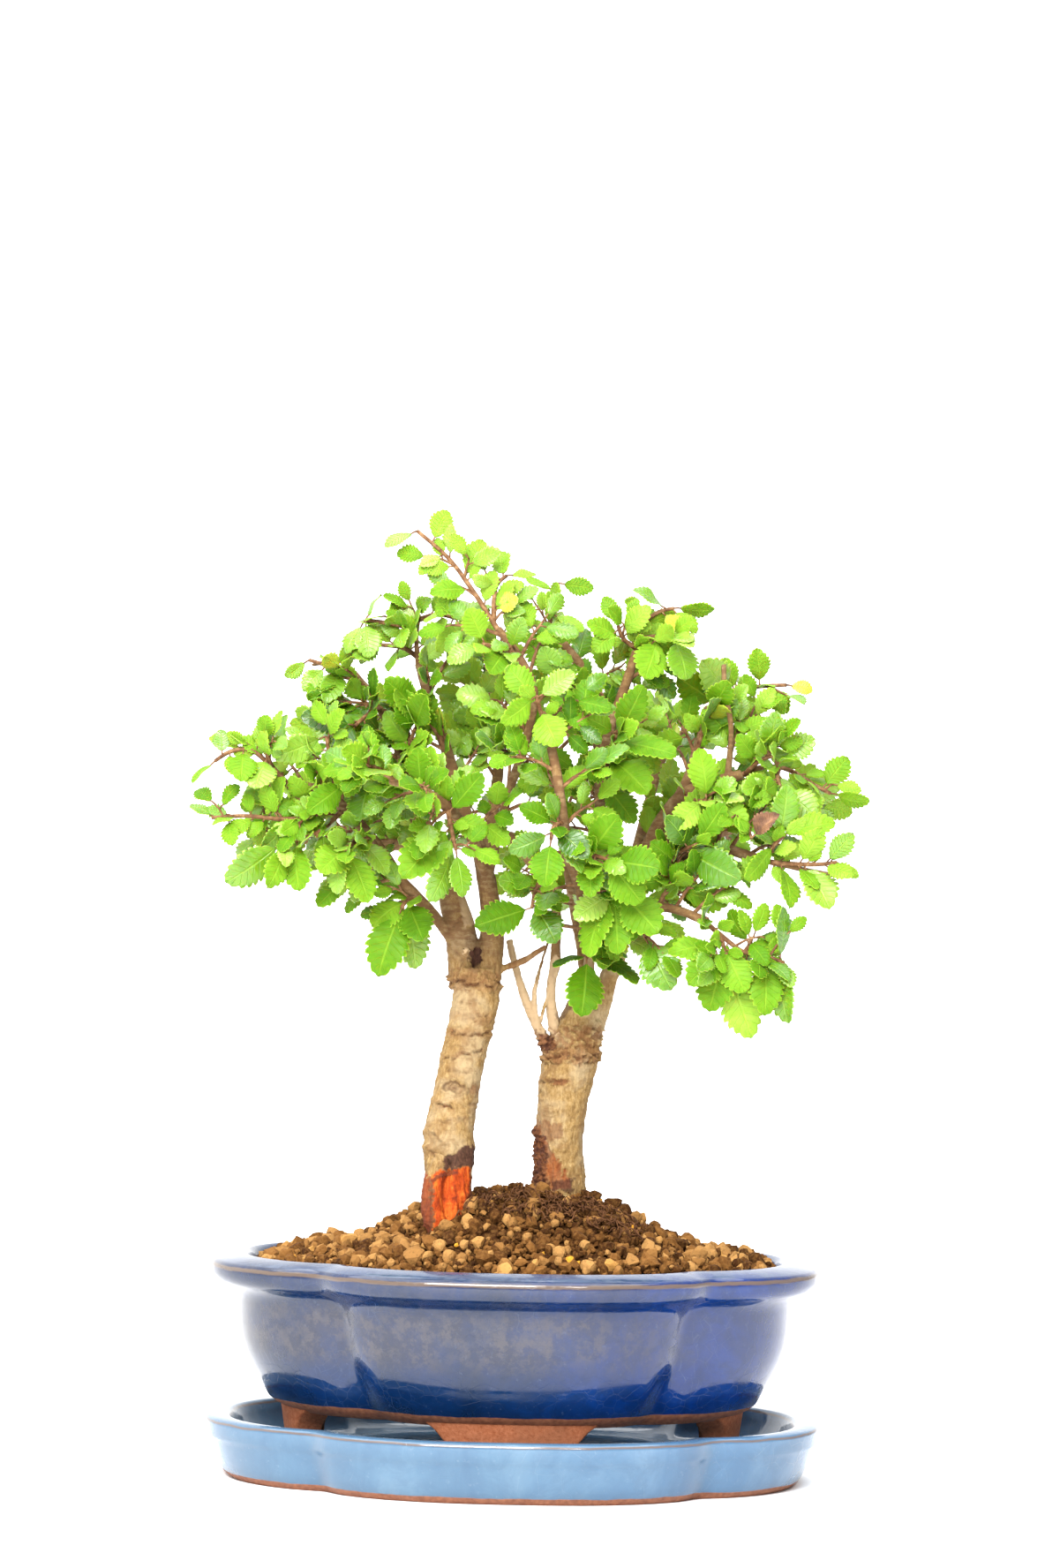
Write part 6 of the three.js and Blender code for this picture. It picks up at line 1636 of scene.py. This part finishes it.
def make_spray(name, twigs, leaves, seed):
    """One spray: its twigs, its placed leaves, and the young leaves and short shoots between them."""
    ruled = seed >= len(SPRAYS)
    build = Foliage(0.6 if name in GLOSSY_SPRAYS else 0.25, SMALL_BLADE if ruled else PLAIN_BLADE)
    routes = [Route(points) for points in twigs]
    tone = SPRAY_TONES.get(name, 0.38 if ruled else 0.52)
    for n, route in enumerate(routes):
        add_wood(build, route, TWIG_BASE, TWIG_END, 8, max(5, int(route.length / 2.5)), seed + n)
    for leaf, (twig, share, x, y, z, ratio, *own_tone) in enumerate(leaves):
        root = routes[twig].at(share)
        shade = own_tone[0] if own_tone else tone + 0.34 * (draw(seed, leaf, 41) - 0.5)
        tip = np.array([x, y, z], float)
        wilted = name == "spray_dead_leaf" and leaf == 0
        facing = leaf_facing(root, seed, leaf, not ruled)
        add_leaf(build, FINE_BLADE, root, tip, facing, ratio, shade, seed, leaf, wilted)
    for n, route in enumerate(routes):
        add_young_leaves(build, route, seed, 40 * (n + 1), tone + 0.1)
        add_side_shoots(build, route, 1000 + 50 * seed + 10 * n, tone)
    build.piece(f"{name}_leaves", name, [name])


def add_side_shoots(build, route, first, tone):
    """Short shoots to either side of a twig, and the pointed spurs that dead ones leave."""
    for n in range(round(route.length / SIDE_SHOOT_PITCH)):
        seed = first + n
        share = (n + draw(seed, 1, 91)) * SIDE_SHOOT_PITCH / route.length
        root, heading = route.at(share), route.heading(share)
        facing = leaf_facing(root, seed, n)
        turn = (1 if n % 2 else -1) * lerp(40, 75, draw(seed, 2, 91))
        heading = unit(turned(heading, facing, turn) + 0.3 * UP)
        if draw(seed, 3, 91) < 0.3:
            heading = unit(heading - 0.3 * UP + 0.6 * route.heading(share))
            spur = Route([root, root + heading * lerp(2, 3.5, draw(seed, 4, 91))])
            add_wood(build, spur, 0.7, 0.2, 5, 3, seed)
            continue
        end = root + heading * lerp(6, 12, draw(seed, 4, 91))
        shoot = Route([root, lerp(root, end, 0.5) + UP * 0.8, end])
        last = add_shoot_leaves(build, shoot, seed, tone, 3, 10, 16)
        if last:
            add_wood(build, shortened(shoot, last), 0.6, 0.4, 5, 5, seed)


def add_young_leaves(build, route, seed, first, tone):
    """Smaller leaves to either side along a twig, between those that are placed one by one."""
    count = max(2, round(route.length / YOUNG_LEAF_PITCH))
    for n in range(first, first + count):
        share = (n - first + 0.2 + 0.7 * draw(seed, n, 43)) / count
        root, heading = route.at(share), route.heading(share)
        facing = leaf_facing(root, seed, n)
        side = 1 if n % 2 else -1
        direction = turned(heading, facing, side * lerp(35, 80, draw(seed, n, 44)))
        direction = unit(direction + UP * lerp(-0.25, 0.35, draw(seed, n, 45)))
        tip = root + direction * lerp(9, 17, draw(seed, n, 46))
        if not free_place(root, tip):
            continue
        ratio = lerp(0.56, 0.7, draw(seed, n, 47))
        shade = tone + 0.3 * (draw(seed, n, 48) - 0.5)
        add_leaf(build, build.shape, root, tip, facing, ratio, shade, seed, n)


def inside_crown(point):
    """True where a leaf tip stays within the crown's outline and out of the gaps before the trunks."""
    x, z = point[0], point[2]
    inside = False
    for n, (x0, z0) in enumerate(CROWN_OUTLINE):
        x1, z1 = CROWN_OUTLINE[n - 1]
        if (z0 > z) != (z1 > z) and x < x0 + (z - z0) * (x1 - x0) / (z1 - z0):
            inside = not inside
    open_here = any(left < x < right and low < z < high for left, low, right, high in OPEN_BOXES)
    return inside and not open_here


def free_place(root, tip):
    """True where a leaf stays inside the crown and doesn't cover the bare leader in front."""
    for point in (tip, lerp(root, tip, 0.5)):
        x, z = np.array([point[0]]), np.array([point[2]])
        if point[1] < -22 and line_distance(x, z, LEADER_LINE)[0] < 4.5:
            return False
    return inside_crown(tip)


def make_shoots(name, stems, node, first_seed):
    """Short leafy shoots by rule along every limb, which close the crown behind the placed sprays."""
    build = Foliage()
    for i, stem in enumerate(stems):
        if stem[0][0] > THICK_STEM:
            continue
        curve = stem_route(stem)
        count = max(2, round(curve.length / SHOOT_PITCH))
        for n in range(count):
            seed = first_seed + 20 * i + n
            share = lerp(0.25, 1, (n + 0.5 * draw(seed, 1, 71)) / count)
            root = curve.at(share)
            if root[2] < LOWEST_SHOOT:
                continue
            turn = 360 * draw(seed, 2, 71)
            outwards = unit(root - CROWN_CENTRE + UP * 20)
            along = curve.heading(share)
            heading = turned(unit(np.cross(along, (0.2, 1, 0.1))), along, turn)
            heading = unit(heading + 0.6 * outwards + 0.3 * UP)
            length = lerp(12, 24, draw(seed, 3, 71))
            end = root + heading * length
            if not inside_crown(end):
                continue
            route = Route([root, lerp(root, end, 0.5) + UP * 1.5, end])
            tone = lerp(0.12, 0.62, draw(seed, 4, 71))
            last = add_shoot_leaves(build, route, seed, tone, 4 + int(3 * draw(seed, 5, 71)), 11, 18)
            if last:
                add_wood(build, shortened(route, last), 0.9, 0.5, 6, 6, seed)
    build.piece(name, node)


def shortened(route, share):
    """The route from its start to a share of its length."""
    return Route([route.at(0), route.at(share / 2), route.at(share)])


def add_shoot_leaves(build, route, seed, tone, count, least, most):
    """Leaves to either side of a shoot; gives how far along it the last one stands, or 0."""
    last = 0
    for leaf in range(count):
        share = lerp(0.25, 1, (leaf + 1) / count)
        root, heading = route.at(share), route.heading(share)
        facing = leaf_facing(root, seed, leaf)
        side = (1 if leaf % 2 else -1) * (0.15 if leaf == count - 1 else 1)
        direction = turned(heading, facing, side * lerp(45, 75, draw(seed, leaf, 72)))
        direction = unit(direction + UP * lerp(-0.4, 0.2, draw(seed, leaf, 73)))
        tip = root + direction * lerp(least, most, draw(seed, leaf, 74))
        if not free_place(root, tip):
            continue
        shade = tone + 0.3 * (draw(seed, leaf, 75) - 0.5)
        ratio = lerp(0.58, 0.72, draw(seed, leaf, 76))
        add_leaf(build, build.shape, root, tip, facing, ratio, shade, seed, leaf)
        last = share
    return last


def ruled_spray(stem, share, turn, seed):
    """A spray placed by rule: a twig bent outwards and up, leaves to either side and one at its end."""
    curve = stem_route(stem)
    root = curve.at(share)
    heading = turned(unit(root - CROWN_CENTRE), curve.heading(share), turn)
    heading = unit(heading + UP * FILL_TWIG_RISE)
    middle = root + heading * FILL_TWIG_LENGTH / 2 + UP * FILL_TWIG_ARCH
    twig = [root, middle, root + heading * FILL_TWIG_LENGTH]
    route = Route(twig)
    facing = leaf_facing(middle, seed, WHOLE_TWIG)
    leaves = []
    for n, station in enumerate(FILL_STATIONS):
        spread = FILL_SPREAD[n] + FILL_SPREAD_SHAKE * (draw(seed, n, 11) - 0.5)
        length = FILL_LEAF_LENGTH * (0.85 + 0.3 * draw(seed, n, 12))
        direction = unit(turned(heading, facing, spread) - UP * FILL_LEAF_DROOP)
        tip = route.at(station) + direction * length
        leaves.append((0, station, *tip, FILL_LEAF_WIDTH + 0.16 * (draw(seed, n, 13) - 0.5)))
    return [twig], leaves


def make_sprays():
    for seed, (name, twigs, leaves) in enumerate(SPRAYS):
        make_spray(name, twigs, leaves, seed)
    for n, (name, tree, stem, share, turn) in enumerate(FILL_SPRAYS):
        stems = TRUNK_LEFT_STEMS if tree == "left" else TRUNK_RIGHT_STEMS
        seed = len(SPRAYS) + n
        twigs, leaves = ruled_spray(stems[stem], share, turn, seed)
        make_spray(name, twigs, leaves, seed)


# Stage, light and camera


# Metres
FLOOR_HALF_SIZE = 40.0


def make_stage():
    end = FLOOR_HALF_SIZE
    mesh = bpy.data.meshes.new("floor")
    corners = [(-end, -end, 0), (end, -end, 0), (end, end, 0), (-end, end, 0)]
    mesh.from_pydata(corners, [], [(0, 1, 2, 3)])
    mesh.materials.append(Shader("paper").finish((0.95, 0.95, 0.95, 1), 0.9))
    new_object("floor", mesh)
    make_world()
    add_sun("sky_light", (-0.1, -0.1, 1.0), 75, 4.1)
    add_panel("key_panel", (-0.2, -0.95, 0.8), 0.6, 26)
    add_panel("window", (0.7, -2.4, 1.5), 0.35, 14)


def make_world():
    """White studio behind and above the object, darker on the camera's side and to the right.

    Its strength is a span along Y times one along X, each as (axis, from, to, and the strength at both).
    """
    world = bpy.data.worlds.new("studio")
    bpy.context.scene.world = world
    world.use_nodes = True
    tree = world.node_tree
    coords = tree.nodes.new("ShaderNodeTexCoord")
    parts = tree.nodes.new("ShaderNodeSeparateXYZ")
    tree.links.new(coords.outputs["Generated"], parts.inputs[0])
    strength = tree.nodes.new("ShaderNodeMath")
    strength.operation = "MULTIPLY"
    for n, (axis, *ends) in enumerate((("Y", -0.6, 0.3, 0.55, 2.0), ("X", 0.3, 0.7, 1.0, 0.3))):
        span = tree.nodes.new("ShaderNodeMapRange")
        for key, value in zip(("From Min", "From Max", "To Min", "To Max"), ends):
            span.inputs[key].default_value = value
        tree.links.new(parts.outputs[axis], span.inputs["Value"])
        tree.links.new(span.outputs["Result"], strength.inputs[n])
    background = tree.nodes["Background"]
    background.inputs["Color"].default_value = (1, 1, 1, 1)
    tree.links.new(strength.outputs["Value"], background.inputs["Strength"])


def add_lamp(name, light, place, aim):
    lamp = new_object(name, light)
    lamp.location = place
    lamp.rotation_euler = (Vector(aim) - Vector(place)).to_track_quat("-Z", "Y").to_euler()
    return lamp


def add_sun(name, source, spread, strength):
    """A wide soft lamp; source points from the object to the light."""
    light = bpy.data.lights.new(name, "SUN")
    light.angle = math.radians(spread)
    light.energy = strength
    add_lamp(name, light, source, (0, 0, 0))


def add_panel(name, place, size, power):
    """A square lamp aimed at the object, which the glaze and the leaves mirror."""
    light = bpy.data.lights.new(name, "AREA")
    light.shape = "SQUARE"
    light.size = size
    light.energy = power
    lamp = add_lamp(name, light, place, (0, 0, 0.2))
    lamp.visible_camera = False


def make_camera():
    data = bpy.data.cameras.new("camera")
    data.sensor_width = 36
    data.lens = LENS
    data.shift_y = SHIFT_UP
    data.clip_start = 0.1
    data.clip_end = 50
    camera = new_object("camera", data)
    camera.location = (CAMERA_X * MM, -CAMERA_DISTANCE * MM, CAMERA_HEIGHT * MM)
    camera.rotation_euler = (math.pi / 2, math.radians(CAMERA_ROLL), 0)
    bpy.context.scene.camera = camera


make_camera()
make_stage()
bpy.context.scene.view_settings.view_transform = "Standard"
make_pot()
make_tray()
make_soil_bed()
make_grains()
make_fibres()
make_tree("tree_left", "trunk_left", TRUNK_LEFT_STEMS + LEFT_TWIGLETS, LEFT_BARK)
make_tree("tree_right", "trunk_right", TRUNK_RIGHT_STEMS + RIGHT_TWIGLETS, RIGHT_BARK)
make_sprays()
make_shoots("shoots_left", TRUNK_LEFT_STEMS, "spray_mid_dark", 400)
make_shoots("shoots_right", TRUNK_RIGHT_STEMS, "spray_mid_dark", 700)
for node in ("drain_screen_left", "drain_screen_right"):
    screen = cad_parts[node].data
    screen.materials.clear()
    screen.materials.append(SCREEN)
